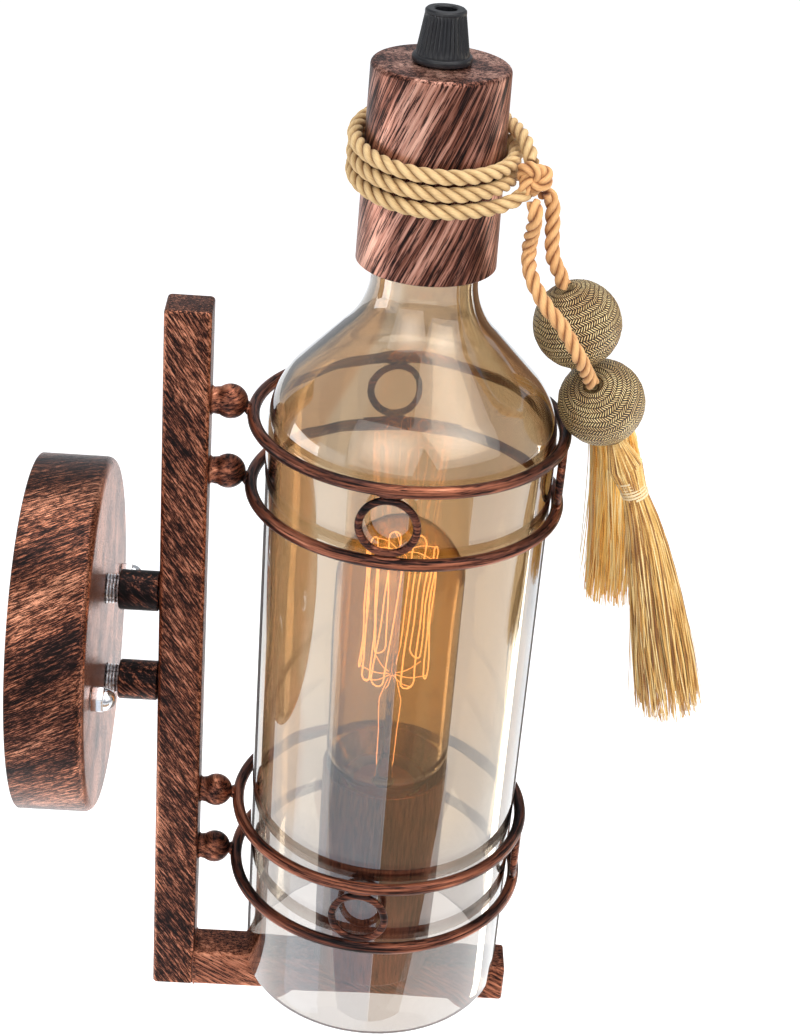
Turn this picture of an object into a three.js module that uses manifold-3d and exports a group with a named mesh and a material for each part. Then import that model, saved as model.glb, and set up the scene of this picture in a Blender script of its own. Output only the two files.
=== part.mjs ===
// Bottle wall lamp: a square tube bracket on a round wall canopy carries two pairs of wire rings, which
// hold a bottomless glass bottle, neck up, over a bulb. A metal cup hides the lampholder, a second one
// covers the bottle's neck, and a rope round that cap ends in two beads with tassels.
//
// Millimetres, +Z up. The origin is the middle of the wall face: the wall is the plane y = 0, and the
// lamp stands out towards -Y.

import * as THREE from 'three';
import { mergeVertices } from 'three/addons/utils/BufferGeometryUtils.js';
import Module from 'manifold-3d';

const wasm = await Module();
wasm.setup();

// Clearances
const fit = 0.3; // between pieces that touch
const weldReach = 1e-4; // corners closer than this are one corner
const past = 1; // how far a drill or cutter runs past a face

// Wall canopy and the bracket behind it
const canopyRadius = 60;
const canopyDepth = 24.8;
const canopyWall = 1.2;
const canopyEdge = 3; // rounding of the front edge
const bracketHeight = 20;
const bracketThick = 2.4;
const bracketMargin = 3; // from the bracket's ends to the canopy
const bracketSlotLength = 14;
const bracketSlotWidth = 5;
const bracketSlotShare = 0.6; // of the way from the middle to a stud
const studInset = 20; // from the canopy's edge
const studRadius = 2.5;
const acornAcross = 8; // over the flats
const acornHexHeight = 4;
const acornDomeRadius = 3.7;

// Hollow nipples that carry the frame and lead the wires
const nippleSpacing = 35.6;
const nippleRadius = 5;
const nippleBore = 3.6;
const nippleTail = 1.6; // past its nut
const nippleNutAcross = 14;
const nippleNutThick = 3;
const sleeveRadius = 6.8;
const sleeveLength = 13.4;

// Frame of square tube
const standoff = 43; // wall to the upright's back
const tubeSide = 15;
const tubeWall = 1.2;
const tubeCorner = 1.6;
const uprightTop = 122.5;
const frameFoot = -146; // underside of the arm
const armOverhang = 49.9; // the bottle's axis to the arm's end
const plateThick = 2; // end plates of the tubes
const plateRound = 1; // rounded rim of an end plate

// Rings that hold the bottle
const ringRadius = 50;
const cageInward = 1; // the rings' middle, nearer the wall than the bottle's
const ringWire = 4;
const ringHeights = [87, 62, -63, -88]; // upper cage, then lower cage
const ballRises = [2.8, 2.8, 0.8, 0.8]; // each ball's height over its ring
const ballRadius = 5.6;
const ballStub = 4.2; // radius of the foot that meets the upright
const ballSeat = 5.9; // upper pair, from the foot to the ball's middle
const circleWire = 2.5;
const circleTurns = [-97, -8, 95]; // degrees round the bottle, from the front

// Bottle
const bodyRadius = 46.7;
const footRadius = 46;
const glassWall = 2.4;
const shoulderHeight = 83; // where the straight body ends
const shoulderRadius = 30;
const throatRadius = 26; // hollow curve under the neck
const neckFoot = 137;
const neckRadius = 16.8;
const neckTopRadius = 14.4;
const lipRadius = 15.6;
const lipHeight = 14;
const lipRound = 1.4;
const mouthBore = 9.6;

// Cap over the neck, with its cord grip
const capTop = 203.5;
const capHeight = 62;
const capTopRadius = 21;
const capMouthRadius = 21.8;
const cupWall = 1.2; // of the cap and of the lamp cup
const cupRound = 1.6; // rounding of their closed ends
const gripFlangeRadius = 9;
const gripFlangeThick = 2.2;
const gripFootRadius = 8;
const gripTopRadius = 6.1;
const gripHeight = 15.7;
const gripRound = 1; // at the top rim
const gripTail = 6.5; // thread under the flange
const gripBore = 3.3;
const gripFlutes = 12;
const gripFluteDepth = 0.7;
const gripNutAcross = 14;
const gripNutThick = 2.6;

// Lamp cup and lampholder
const lampCupRim = -45.5;
const lampCupRimRadius = 22.2;
const lampCupFootRadius = 20.8;
const holderMouth = -52;
const holderRadius = 15.6;
const holderWall = 1.6;
const holderFloor = 3;
const holderLedge = 1.5; // ledge that carries the insert
const holderChamfer = 1;
const holderLip = 0.5; // bevel of the mouth
const insertTop = -87;
const insertThick = 12;
const shellDepth = 27;
const shellWall = 0.4;
const contactRadius = 5;
const contactThick = 0.8;
const cupNippleTail = 0.5; // under its nut, inside the arm
const cupNippleRise = 12; // over the cup's floor
const armNutAcross = 11.6;
const armNutThick = 2.2;

// Bulb
const capThreadRadius = 13;
const capThreadDepth = 0.6;
const capThreads = 4;
const capPlain = 2; // plain skirt under the thread
const capCollar = 3; // plain collar over the thread
const capHeightScrew = 24;
const capSkin = 0.6;
const capTip = 3.2; // height of the contact under the screw cap
const capTipRadius = 4.5;
const bulbRadius = 21.5;
const bulbTop = 51;
const bulbWaist = -37; // lower end of the straight glass
const bulbWall = 0.9;
const bulbNeckSink = 6; // glass inside the screw cap
const stemRadius = 1.4;
const stemPinch = [3.4, 2.8]; // radii of the pinched foot, lower and upper
const stemFoot = 16; // height of the pinched foot
const stemFlare = 9.5;
const stemRim = 1;
const filamentRadius = 12;
const filamentTop = 37;
const filamentFoot = -6;
const filamentWire = 0.8;
const filamentLegs = 10;

// Wires from the canopy to the lampholder
const wireDiameter = 2.2;
const wireSpread = 2.8; // between the two wires' axes
const wireBend = 6;
const blockWidth = 18;
const blockDepth = 10;
const blockHeight = 14;
const blockScrew = 2.1;
const blockScrewDepth = 2;

// Rope, beads and tassels
const ropeDiameter = 4.8;
const ropeTurns = 3;
const ropePitch = 5.3;
const ropeTopHeight = 183; // axis of the uppermost turn
const ropeTilt = 6; // degrees, down to the left
const knotRadius = 4.5;
const knotShape = [1.1, 1, 1.2];
const knotTurn = -22; // degrees round the bottle, from the front
const knotSag = 0.7; // below the middle of the winding's two ends
const knotEntry = 2.5; // the two ends, above and below the knot's middle
const knotStub = 5; // rope ends that run into the knot
const strandOff = 1; // the strands' ends, from the knot's skin
const strandBend = [1.7, -1.2, -22.5]; // the long strand's bend, from the knot's middle
const beadRadius = 13.9;
const beadGap = 0.5;
const beadSeat = 54; // degrees above level, from the top ring's wire to the lower bead
const beadAside = 6; // the lower bead, to the left of the knot
const beadLean = [-0.02, 0.375, 0.927]; // way from the lower bead to the upper one
const tasselLength = 100;
const tasselFlutes = 7;
const tasselFluteDepth = 0.08; // share of the radius

// Steps round the curved pieces
const stepsBottle = 32;
const stepsRing = 32;
const stepsCup = 24;
const stepsBulb = 18;
const stepsCircle = 14;
const stepsSmall = 12;
const stepsRope = 8;
const stepsWire = 6;
const stepsLoop = 24;

// Places that follow from the sizes
const rad = Math.PI / 180;
const canopyFace = canopyDepth; // wall to the canopy's front
const studSpacing = 2 * (canopyRadius - studInset);
const bracketSlotOut = (bracketSlotShare * studSpacing) / 2;
const uprightMiddle = standoff + tubeSide / 2;
const uprightFront = standoff + tubeSide;
const ballReach = ballRadius + ringWire / 2 + fit; // a ball's middle to the ring's wire
const ballLevel = (rise) => Math.sqrt(ballReach ** 2 - rise ** 2);
const cageOut = uprightFront + fit + ballSeat + ballLevel(Math.max(...ballRises)) + ringRadius;
const bottleOut = cageOut + cageInward;
const armReach = bottleOut + armOverhang;
const armTop = frameFoot + tubeSide;
const armMiddle = frameFoot + tubeSide / 2;
const footHeight = armTop + fit; // the bottle and the lamp cup stand on the arm
const mouthHeight = capTop - cupWall - fit; // the cap stands on the bottle's mouth
const ropeRadius = ropeDiameter / 2;

// Points of an arc in the plane, from one angle to another in degrees
function arc(x, y, radius, from, to, steps) {
  return Array.from({ length: steps + 1 }, (unused, i) => {
    const a = (from + (to - from) * (i / steps)) * rad;
    return [x + radius * Math.cos(a), y + radius * Math.sin(a)];
  });
}

// One closed mesh: corners merged, slivers dropped, faces turned outwards
function closed(geometry) {
  const plain = geometry.clone();
  plain.deleteAttribute('normal');
  plain.deleteAttribute('uv');
  const merged = mergeVertices(plain, weldReach);
  const p = merged.attributes.position;
  const [a, b, c] = [new THREE.Vector3(), new THREE.Vector3(), new THREE.Vector3()];
  const faces = [];
  let volume = 0;
  for (let i = 0; i < merged.index.count; i += 3) {
    const [u, v, w] = [0, 1, 2].map((k) => merged.index.getX(i + k));
    if (u === v || v === w || w === u) continue;
    a.fromBufferAttribute(p, u);
    b.fromBufferAttribute(p, v);
    c.fromBufferAttribute(p, w);
    volume += a.dot(b.cross(c));
    faces.push([u, v, w]);
  }
  merged.setIndex(faces.flatMap(([u, v, w]) => (volume < 0 ? [u, w, v] : [u, v, w])));
  return merged;
}

// Booleans between closed meshes
function toSolid(geometry) {
  const mesh = closed(geometry);
  return new wasm.Manifold(new wasm.Mesh({
    numProp: 3,
    vertProperties: new Float32Array(mesh.attributes.position.array),
    triVerts: new Uint32Array(mesh.index.array),
  }));
}

function fromSolid(solid) {
  const mesh = solid.getMesh();
  const geometry = new THREE.BufferGeometry();
  geometry.setAttribute('position', new THREE.BufferAttribute(mesh.vertProperties, 3));
  geometry.setIndex(Array.from(mesh.triVerts));
  return geometry;
}

const joined = (first, ...more) =>
  fromSolid(more.reduce((whole, piece) => whole.add(toSolid(piece)), toSolid(first)));
const cut = (body, ...tools) =>
  fromSolid(tools.reduce((rest, tool) => rest.subtract(toSolid(tool)), toSolid(body)));

// A profile of [radius, height] turned about Z
function turned(profile, steps) {
  const points = profile.map(([r, z]) => new THREE.Vector2(Math.max(r, 0), z));
  return new THREE.LatheGeometry(points, steps).rotateX(Math.PI / 2);
}

// The same, turned about Y, its heights counted from the wall outwards
const turnedOut = (profile, steps) => turned(profile, steps).rotateX(Math.PI / 2);

// A hollow profile closes on its first point
const loop = (profile) => [...profile, profile[0]];

function pipe(outer, inner, from, to, steps) {
  return turned(loop([[inner, from], [outer, from], [outer, to], [inner, to]]), steps);
}

function rod(radius, from, to, steps) {
  return turned([[0, from], [radius, from], [radius, to], [0, to]], steps);
}

// A rod between two points
function strut(radius, from, to, steps) {
  const way = to.clone().sub(from);
  const up = new THREE.Vector3(0, 0, 1);
  const turn = new THREE.Quaternion().setFromUnitVectors(up, way.clone().normalize());
  return rod(radius, 0, way.length(), steps).applyQuaternion(turn).translate(from.x, from.y, from.z);
}

function block(low, high) {
  const size = high.map((v, i) => v - low[i]);
  return new THREE.BoxGeometry(...size).translate(...low.map((v, i) => v + size[i] / 2));
}

// A hexagon nut with a bore, from one height to another
function hexNut(across, bore, from, to) {
  const corner = across / Math.sqrt(3);
  return cut(rod(corner, from, to, 6), rod(bore, from - past, to + past, stepsSmall));
}

// A rounded square outline, for the tubes and their end plates
function roundedSquare(side, corner) {
  const half = side / 2 - corner;
  const corners = [[half, half], [-half, half], [-half, -half], [half, -half]];
  const outline = corners.flatMap(([x, y], i) => arc(x, y, corner, 90 * i, 90 * (i + 1), 3));
  return outline.map(([x, y]) => new THREE.Vector2(x, y));
}

// A length of square tube along Z
function squareTube(from, to) {
  const shape = new THREE.Shape(roundedSquare(tubeSide, tubeCorner));
  const inner = roundedSquare(tubeSide - 2 * tubeWall, tubeCorner - tubeWall / 2);
  shape.holes.push(new THREE.Path(inner));
  return new THREE.ExtrudeGeometry(shape, { depth: to - from, bevelEnabled: false }).translate(0, 0, from);
}

// An end plate that lies on a tube's end, rounded on its outer rim
function endPlate(from) {
  const shape = new THREE.Shape(roundedSquare(tubeSide - 2 * plateRound, tubeCorner));
  const plate = new THREE.ExtrudeGeometry(shape, {
    depth: plateThick - plateRound,
    bevelThickness: plateRound,
    bevelSize: plateRound,
    bevelSegments: 2,
  });
  const foot = block([-tubeSide, -tubeSide, -plateRound], [tubeSide, tubeSide, 0]);
  return cut(plate, foot).translate(0, 0, from);
}

// A path with a ring of the tube at each of its own points
class Route extends THREE.Curve {
  constructor(points) {
    super();
    this.points = points;
  }

  getPoint(t, target = new THREE.Vector3()) {
    const place = t * (this.points.length - 1);
    const i = Math.min(Math.floor(place + 1e-9), this.points.length - 2);
    return target.lerpVectors(this.points[i], this.points[i + 1], place - i);
  }

  getPointAt(u, target) {
    return this.getPoint(u, target);
  }

  getTangentAt(u, target = new THREE.Vector3()) {
    const i = Math.round(u * (this.points.length - 1));
    const before = this.points[Math.max(i - 1, 0)];
    const after = this.points[Math.min(i + 1, this.points.length - 1)];
    return target.subVectors(after, before).normalize();
  }
}

// A round tube along a list of points
function tube(points, radius, sides) {
  const outline = Array.from({ length: sides }, (unused, i) => {
    const a = (2 * Math.PI * i) / sides;
    return new THREE.Vector2(radius * Math.cos(a), radius * Math.sin(a));
  });
  const settings = { steps: points.length - 1, extrudePath: new Route(points), bevelEnabled: false };
  return new THREE.ExtrudeGeometry(new THREE.Shape(outline), settings);
}

// A smooth line through a few points, sampled evenly
function smooth(points, steps) {
  return new THREE.CatmullRomCurve3(points, false, 'centripetal').getSpacedPoints(steps);
}

// A fluted body along a line: each station has its middle and its radius
function fluted(stations, flutes, depth) {
  const count = 2 * flutes;
  const line = new Route(stations.map((s) => s.middle));
  const positions = [];
  const faces = [];
  stations.forEach((station, row) => {
    const way = line.getTangentAt(row / (stations.length - 1));
    const across = new THREE.Vector3(1, 0, 0).cross(way).normalize();
    const along = way.clone().cross(across);
    for (let i = 0; i < count; i += 1) {
      const a = (2 * Math.PI * i) / count;
      const r = station.radius * (i % 2 ? 1 - depth : 1);
      const point = station.middle.clone();
      point.addScaledVector(across, r * Math.cos(a)).addScaledVector(along, r * Math.sin(a));
      positions.push(point.x, point.y, point.z);
      const j = (i + 1) % count;
      if (row > 0) {
        const [low, high] = [(row - 1) * count, row * count];
        faces.push(low + i, low + j, high + i, low + j, high + j, high + i);
      }
    }
  });
  const last = (stations.length - 1) * count;
  for (let i = 1; i < count - 1; i += 1) faces.push(0, i + 1, i, last, last + i, last + i + 1);
  const geometry = new THREE.BufferGeometry();
  geometry.setAttribute('position', new THREE.Float32BufferAttribute(positions, 3));
  geometry.setIndex(faces);
  return geometry;
}

// Finishes
const finishes = {
  copper: { color: 0x9c5f4a, metalness: 1, roughness: 0.38 },
  canopyCopper: { color: 0xc08a78, metalness: 1, roughness: 0.22 },
  steel: { color: 0xc9c9cc, metalness: 1, roughness: 0.3 },
  brass: { color: 0xc9a558, metalness: 1, roughness: 0.32 },
  black: { color: 0x161616, metalness: 0, roughness: 0.55 },
  ceramic: { color: 0xe7e3d8, metalness: 0, roughness: 0.4 },
  lustreGlass: { color: 0xcdb08c, metalness: 0, roughness: 0.04, transparent: true, opacity: 0.35 },
  bulbGlass: { color: 0xe9a748, metalness: 0, roughness: 0.03, transparent: true, opacity: 0.3 },
  filament: { color: 0xd98a52, metalness: 1, roughness: 0.3 },
  wireBrown: { color: 0x5a3626, metalness: 0, roughness: 0.6 },
  wireBlue: { color: 0x2f5a94, metalness: 0, roughness: 0.6 },
  rope: { color: 0xe2c98f, metalness: 0, roughness: 0.85 },
  bead: { color: 0x8d7a3f, metalness: 0.3, roughness: 0.6 },
  tassel: { color: 0xe0a545, metalness: 0, roughness: 0.7 },
};

function piece(name, finish, geometry, x = 0, y = 0, z = 0) {
  const mesh = new THREE.Mesh(closed(geometry), new THREE.MeshStandardMaterial(finishes[finish]));
  mesh.name = name;
  mesh.position.set(x, y, z);
  return mesh;
}

function group(y, ...children) {
  const made = new THREE.Group();
  made.position.y = y;
  made.add(...children);
  return made;
}

// Canopy, bracket and their fasteners, all made looking along Y
function wallPlate() {
  const inner = canopyRadius - canopyWall;
  const through = canopyDepth + past;
  const hole = (x, z, radius) =>
    turnedOut([[0, -past], [radius, -past], [radius, through], [0, through]], stepsSmall)
      .translate(x, 0, z);
  const shell = turnedOut([
    [inner, 0],
    [canopyRadius, 0],
    ...arc(canopyRadius - canopyEdge, canopyFace - canopyEdge, canopyEdge, 0, 90, 3),
    [0, canopyFace],
    [0, canopyFace - canopyWall],
    ...arc(inner - canopyEdge, canopyFace - canopyWall - canopyEdge, canopyEdge, 90, 0, 3),
    [inner, 0],
  ], stepsRing);
  const nippleHoles = [-1, 1].map((s) => hole(0, (s * nippleSpacing) / 2, nippleRadius + fit));
  const studHoles = [-1, 1].map((s) => hole((s * studSpacing) / 2, 0, studRadius + fit));
  const canopy = piece('canopy', 'canopyCopper', cut(shell, ...nippleHoles, ...studHoles));

  const halfLength = inner - bracketMargin;
  const slot = (x) => {
    const reach = (bracketSlotLength - bracketSlotWidth) / 2;
    const ends = [-1, 1].map((s) => hole(x + s * reach, 0, bracketSlotWidth / 2));
    const middle = block([x - reach, -bracketThick - past, -bracketSlotWidth / 2],
      [x + reach, past, bracketSlotWidth / 2]);
    return joined(...ends, middle);
  };
  const strip = block([-halfLength, -bracketThick, -bracketHeight / 2], [halfLength, 0, bracketHeight / 2]);
  const bracket = piece('wall_bracket', 'steel',
    cut(strip, slot(-bracketSlotOut), slot(bracketSlotOut), ...studHoles));

  const studEnd = canopyFace + acornHexHeight;
  const nutFoot = canopyFace + fit;
  const corner = acornAcross / Math.sqrt(3);
  const fasteners = [['left', -1], ['right', 1]].flatMap(([side, s]) => {
    const x = (s * studSpacing) / 2;
    const stud = turnedOut([[0, fit], [studRadius, fit], [studRadius, studEnd], [0, studEnd]], stepsSmall);
    const domeFoot = nutFoot + acornHexHeight;
    const hex = turnedOut([[0, nutFoot], [corner, nutFoot], [corner, domeFoot], [0, domeFoot]], 6);
    const domeArc = arc(0, domeFoot, acornDomeRadius, 0, 90, 4);
    const dome = turnedOut([[0, nutFoot + past], ...domeArc], stepsSmall);
    const pocketEnd = studEnd + fit;
    const pocket = turnedOut([[0, 0], [studRadius + fit, 0], [studRadius + fit, pocketEnd], [0, pocketEnd]],
      stepsSmall);
    const nut = cut(joined(hex, dome), pocket);
    return [piece(`stud_${side}`, 'steel', stud, x), piece(`acorn_nut_${side}`, 'steel', nut, x)];
  });
  return group(0, canopy, bracket, ...fasteners);
}

// Nipples through the canopy, their nuts, and the sleeves on the upright
function arms() {
  const innerFace = canopyFace - canopyWall;
  const nutFrom = innerFace - fit - nippleNutThick;
  const nippleFrom = nutFrom - nippleTail;
  const sleeveTo = standoff - fit;
  const sleeveFrom = sleeveTo - sleeveLength;
  const nippleTo = sleeveTo - fit;
  const out = (geometry) => geometry.rotateX(Math.PI / 2);
  return [['upper', 1], ['lower', -1]].flatMap(([side, s]) => {
    const z = (s * nippleSpacing) / 2;
    const nipple = out(pipe(nippleRadius, nippleBore, nippleFrom, nippleTo, stepsSmall));
    const nut = out(hexNut(nippleNutAcross, nippleRadius + fit, nutFrom, innerFace - fit));
    const sleeve = out(pipe(sleeveRadius, nippleRadius + fit, sleeveFrom, sleeveTo, stepsBulb));
    return [
      piece(`nipple_${side}`, 'steel', nipple, 0, 0, z),
      piece(`nipple_nut_${side}`, 'steel', nut, 0, 0, z),
      piece(`sleeve_${side}`, 'copper', sleeve, 0, 0, z),
    ];
  });
}

// Upright and arm, drilled for the wires and closed by end plates
function tubes() {
  const plateStep = plateThick + fit;
  const drill = (z, radius) => rod(radius, 0, tubeSide, stepsSmall).rotateX(Math.PI / 2).translate(0, 0, z);
  const upright = cut(
    squareTube(frameFoot + plateStep, uprightTop - plateStep),
    drill(nippleSpacing / 2, nippleBore).translate(0, tubeSide / 2 + tubeCorner, 0),
    drill(-nippleSpacing / 2, nippleBore).translate(0, tubeSide / 2 + tubeCorner, 0),
    drill(armMiddle, nippleBore),
  );
  const armFrom = uprightFront + fit;
  const armTo = armReach - plateStep;
  const arm = cut(
    squareTube(armFrom, armTo).rotateX(Math.PI / 2),
    rod(nippleRadius + fit, 0, tubeSide, stepsSmall).translate(0, -bottleOut, 0),
  );
  return [
    piece('upright_tube', 'copper', upright, 0, -uprightMiddle),
    piece('upright_top_plate', 'copper', endPlate(uprightTop - plateThick), 0, -uprightMiddle),
    piece('upright_foot_plate', 'copper', endPlate(-frameFoot - plateThick).rotateX(Math.PI),
      0, -uprightMiddle),
    piece('arm_tube', 'copper', arm, 0, 0, armMiddle),
    piece('arm_end_plate', 'copper', endPlate(armReach - plateThick).rotateX(Math.PI / 2), 0, 0, armMiddle),
  ];
}

// Rings, the small circles between each pair, and the balls that join them to the upright
function cages() {
  const wire = ringWire / 2;
  const ring = () => new THREE.TorusGeometry(ringRadius, wire, stepsWire, stepsRing);
  const rings = ringHeights.map((z, i) => piece(`ring_${i + 1}`, 'copper', ring(), 0, -cageOut, z));

  const neckTurn = Math.acos(ballStub / ballRadius) / rad; // where a ball runs into its foot
  const balls = ringHeights.map((z, i) => {
    const out = cageOut - ringRadius - ballLevel(ballRises[i]); // wall to the ball's middle
    const seat = out - uprightFront - fit;
    const round = arc(0, 0, ballRadius, neckTurn, -90, 6);
    const ball = turned([[0, seat], [ballStub, seat], ...round], stepsSmall);
    return piece(`ball_${i + 1}`, 'copper', ball.rotateX(-Math.PI / 2), 0, -out, z + ballRises[i]);
  });

  const circles = [0, 2].flatMap((k) => {
    const [high, low] = [ringHeights[k], ringHeights[k + 1]];
    const radius = (high - low - ringWire - circleWire) / 2 - fit;
    return circleTurns.map((turn, i) => {
      const circle = new THREE.TorusGeometry(radius, circleWire / 2, stepsWire, stepsCircle);
      circle.rotateX(Math.PI / 2).translate(0, -ringRadius, 0).rotateZ(turn * rad);
      const name = `circle_${k ? 'lower' : 'upper'}_${i + 1}`;
      return piece(name, 'copper', circle, 0, -cageOut, (high + low) / 2);
    });
  });
  return [...rings, ...balls, ...circles];
}

// A tapered cup with its closed end rounded and a hole in it, closed end down at height 0
function cup(footR, rimR, height, hole) {
  const r = cupRound;
  return turned(loop([
    [hole, 0],
    ...arc(footR - r, r, r, -90, 0, 3),
    [rimR, height],
    [rimR - cupWall, height],
    [footR - cupWall, cupWall + r],
    [footR - cupWall - r, cupWall],
    [hole, cupWall],
  ]), stepsCup);
}

function lampHolder() {
  const floor = footHeight + cupWall; // inside of the cup
  const lampCup = cup(lampCupFootRadius, lampCupRimRadius, lampCupRim - footHeight, nippleRadius + fit);
  const nutTo = armTop - tubeWall - fit;
  const nutFrom = nutTo - armNutThick;
  const nipple = pipe(nippleRadius, nippleBore, nutFrom - cupNippleTail, floor + cupNippleRise, stepsSmall);
  const armNut = hexNut(armNutAcross, nippleRadius + fit, nutFrom, nutTo);

  const insertFrom = insertTop - insertThick;
  const ledge = insertFrom - fit;
  const base = floor + fit;
  const bore = holderRadius - holderWall;
  const body = turned(loop([
    [nippleRadius + fit, base],
    [holderRadius - holderChamfer, base],
    [holderRadius, base + holderChamfer],
    [holderRadius, holderMouth - 2 * holderLip],
    [holderRadius - holderLip, holderMouth],
    [bore, holderMouth],
    [bore, ledge],
    [bore - holderLedge, ledge],
    [bore - holderLedge, base + holderFloor],
    [nippleRadius + fit, base + holderFloor],
  ]), stepsCup);
  const insertRadius = bore - fit;
  const insert = turned([
    [0, insertFrom],
    [insertRadius, insertFrom],
    [insertRadius, insertTop],
    [0, insertTop],
  ], stepsCup);
  const shellFrom = insertTop + fit;
  const shell = pipe(insertRadius, insertRadius - shellWall, shellFrom, shellFrom + shellDepth, stepsCup);
  const contact = rod(contactRadius, shellFrom, shellFrom + contactThick, stepsSmall);
  return [
    piece('lamp_cup', 'copper', lampCup, 0, 0, footHeight),
    piece('cup_nipple', 'steel', nipple),
    piece('arm_nut', 'steel', armNut),
    piece('lampholder_body', 'black', body),
    piece('lampholder_insert', 'ceramic', insert),
    piece('screw_shell', 'brass', shell),
    piece('centre_contact', 'brass', contact),
  ];
}

// Screw cap, glass, stem and filament of the bulb
function bulb() {
  const tipFrom = insertTop + 2 * fit + contactThick;
  const skirtFrom = tipFrom + capTip;
  const rim = skirtFrom + capHeightScrew;
  const inner = capThreadRadius - capThreadDepth - capSkin;
  const pitch = (capHeightScrew - capPlain - capCollar) / capThreads;
  const threads = Array.from({ length: 2 * capThreads + 1 }, (unused, i) => [
    capThreadRadius - (i % 2 ? 0 : capThreadDepth), skirtFrom + capPlain + (i * pitch) / 2,
  ]);
  const screwCap = turned([
    [0, tipFrom],
    [capTipRadius, tipFrom],
    [capThreadRadius - capPlain, skirtFrom],
    ...threads,
    [capThreadRadius, rim],
    [inner, rim],
    [inner, skirtFrom + capSkin],
    [0, skirtFrom + capSkin],
  ], stepsBulb);

  const neck = inner - fit;
  const neckFrom = rim - bulbNeckSink;
  const hang = rim + fit;
  const bend = (bulbWaist - hang) / 2;
  const wide = bulbRadius - neck;
  const curve = (offset) => {
    const dome = arc(0, bulbTop - bulbRadius, bulbRadius - offset, 0, 90, 6);
    const lower = [0, 1, 2, 3, 4].map((i) => {
      const t = i / 4;
      return [neck - offset + wide * (0.5 - 0.5 * Math.cos(Math.PI * t)), hang + 2 * bend * t];
    });
    return [[neck - offset, neckFrom], ...lower, ...dome];
  };
  const glass = turned(loop([...curve(0), ...curve(bulbWall).reverse()]), stepsBulb);

  const flare = Math.min(stemFlare, neck - bulbWall - fit);
  const reach = filamentRadius - filamentWire / 2 - fit;
  const step = (2 * Math.PI) / filamentLegs;
  const halfStep = step / 2;
  const turnRadius = filamentRadius * Math.sin(halfStep); // of the filament's turns
  const stemTop = filamentTop + turnRadius;
  const stem = turned([
    [0, neckFrom],
    [flare, neckFrom],
    [flare, neckFrom + stemRim],
    [stemPinch[0], hang + stemFoot / 4],
    [stemPinch[1], hang + (3 * stemFoot) / 4],
    [stemRadius, hang + stemFoot],
    ...arc(0, stemTop, stemRadius, 0, 90, 2),
  ], 10);
  const hook = (i, z) => {
    const a = i * step + halfStep;
    return strut(filamentWire / 2, new THREE.Vector3(0, 0, z),
      new THREE.Vector3(reach * Math.cos(a), reach * Math.sin(a), z), 4);
  };
  const hooks = Array.from({ length: filamentLegs - 1 }, (unused, i) =>
    hook(i, i % 2 ? filamentFoot - turnRadius : stemTop));
  const legPoint = (angle, z) =>
    new THREE.Vector3(filamentRadius * Math.cos(angle), filamentRadius * Math.sin(angle), z);
  const points = [];
  for (let i = 0; i < filamentLegs; i += 1) {
    const up = i % 2 === 0;
    points.push(legPoint(i * step, up ? filamentFoot : filamentTop));
    points.push(legPoint(i * step, up ? filamentTop : filamentFoot));
    if (i === filamentLegs - 1) break;
    for (let k = 1; k < 4; k += 1) {
      const a = (Math.PI * k) / 4;
      const angle = i * step + halfStep * (1 - Math.cos(a));
      const lift = turnRadius * Math.sin(a);
      points.push(legPoint(angle, up ? filamentTop + lift : filamentFoot - lift));
    }
  }
  return [
    piece('bulb_screw_cap', 'brass', screwCap),
    piece('bulb_glass', 'bulbGlass', glass),
    piece('bulb_stem', 'bulbGlass', joined(stem, ...hooks)),
    piece('filament', 'filament', tube(points, filamentWire / 2, 4)),
  ];
}

// Bottle without a bottom, with its shoulder from two arcs and the line between them
function bottle() {
  const shoulder = (offset) => {
    const [r1, r2] = [shoulderRadius - offset, throatRadius + offset];
    const [x1, x2] = [bodyRadius - shoulderRadius, neckRadius + throatRadius];
    const [dx, dz] = [x2 - x1, neckFoot - shoulderHeight];
    const turn = (Math.atan2(dz, dx) - Math.acos(Math.min((r1 + r2) / Math.hypot(dx, dz), 1))) / rad;
    return [
      ...arc(x1, shoulderHeight, r1, 0, turn, 5),
      ...arc(x2, neckFoot, r2, 180 + turn, 180, 5),
    ];
  };
  const lipFoot = mouthHeight - lipHeight;
  const half = glassWall / 2;
  const outer = [
    ...arc(footRadius - half, footHeight + half, half, -90, 0, 2),
    ...shoulder(0),
    [neckTopRadius, lipFoot],
    [lipRadius, lipFoot + lipRound],
    [lipRadius, mouthHeight - lipRound],
    [lipRadius - lipRound, mouthHeight],
  ];
  const inner = [
    [mouthBore, mouthHeight],
    [mouthBore, lipFoot],
    ...shoulder(glassWall).reverse(),
    [footRadius - glassWall, footHeight + half],
  ];
  return [piece('bottle', 'lustreGlass', turned(loop([...outer, ...inner]), stepsBottle))];
}

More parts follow.
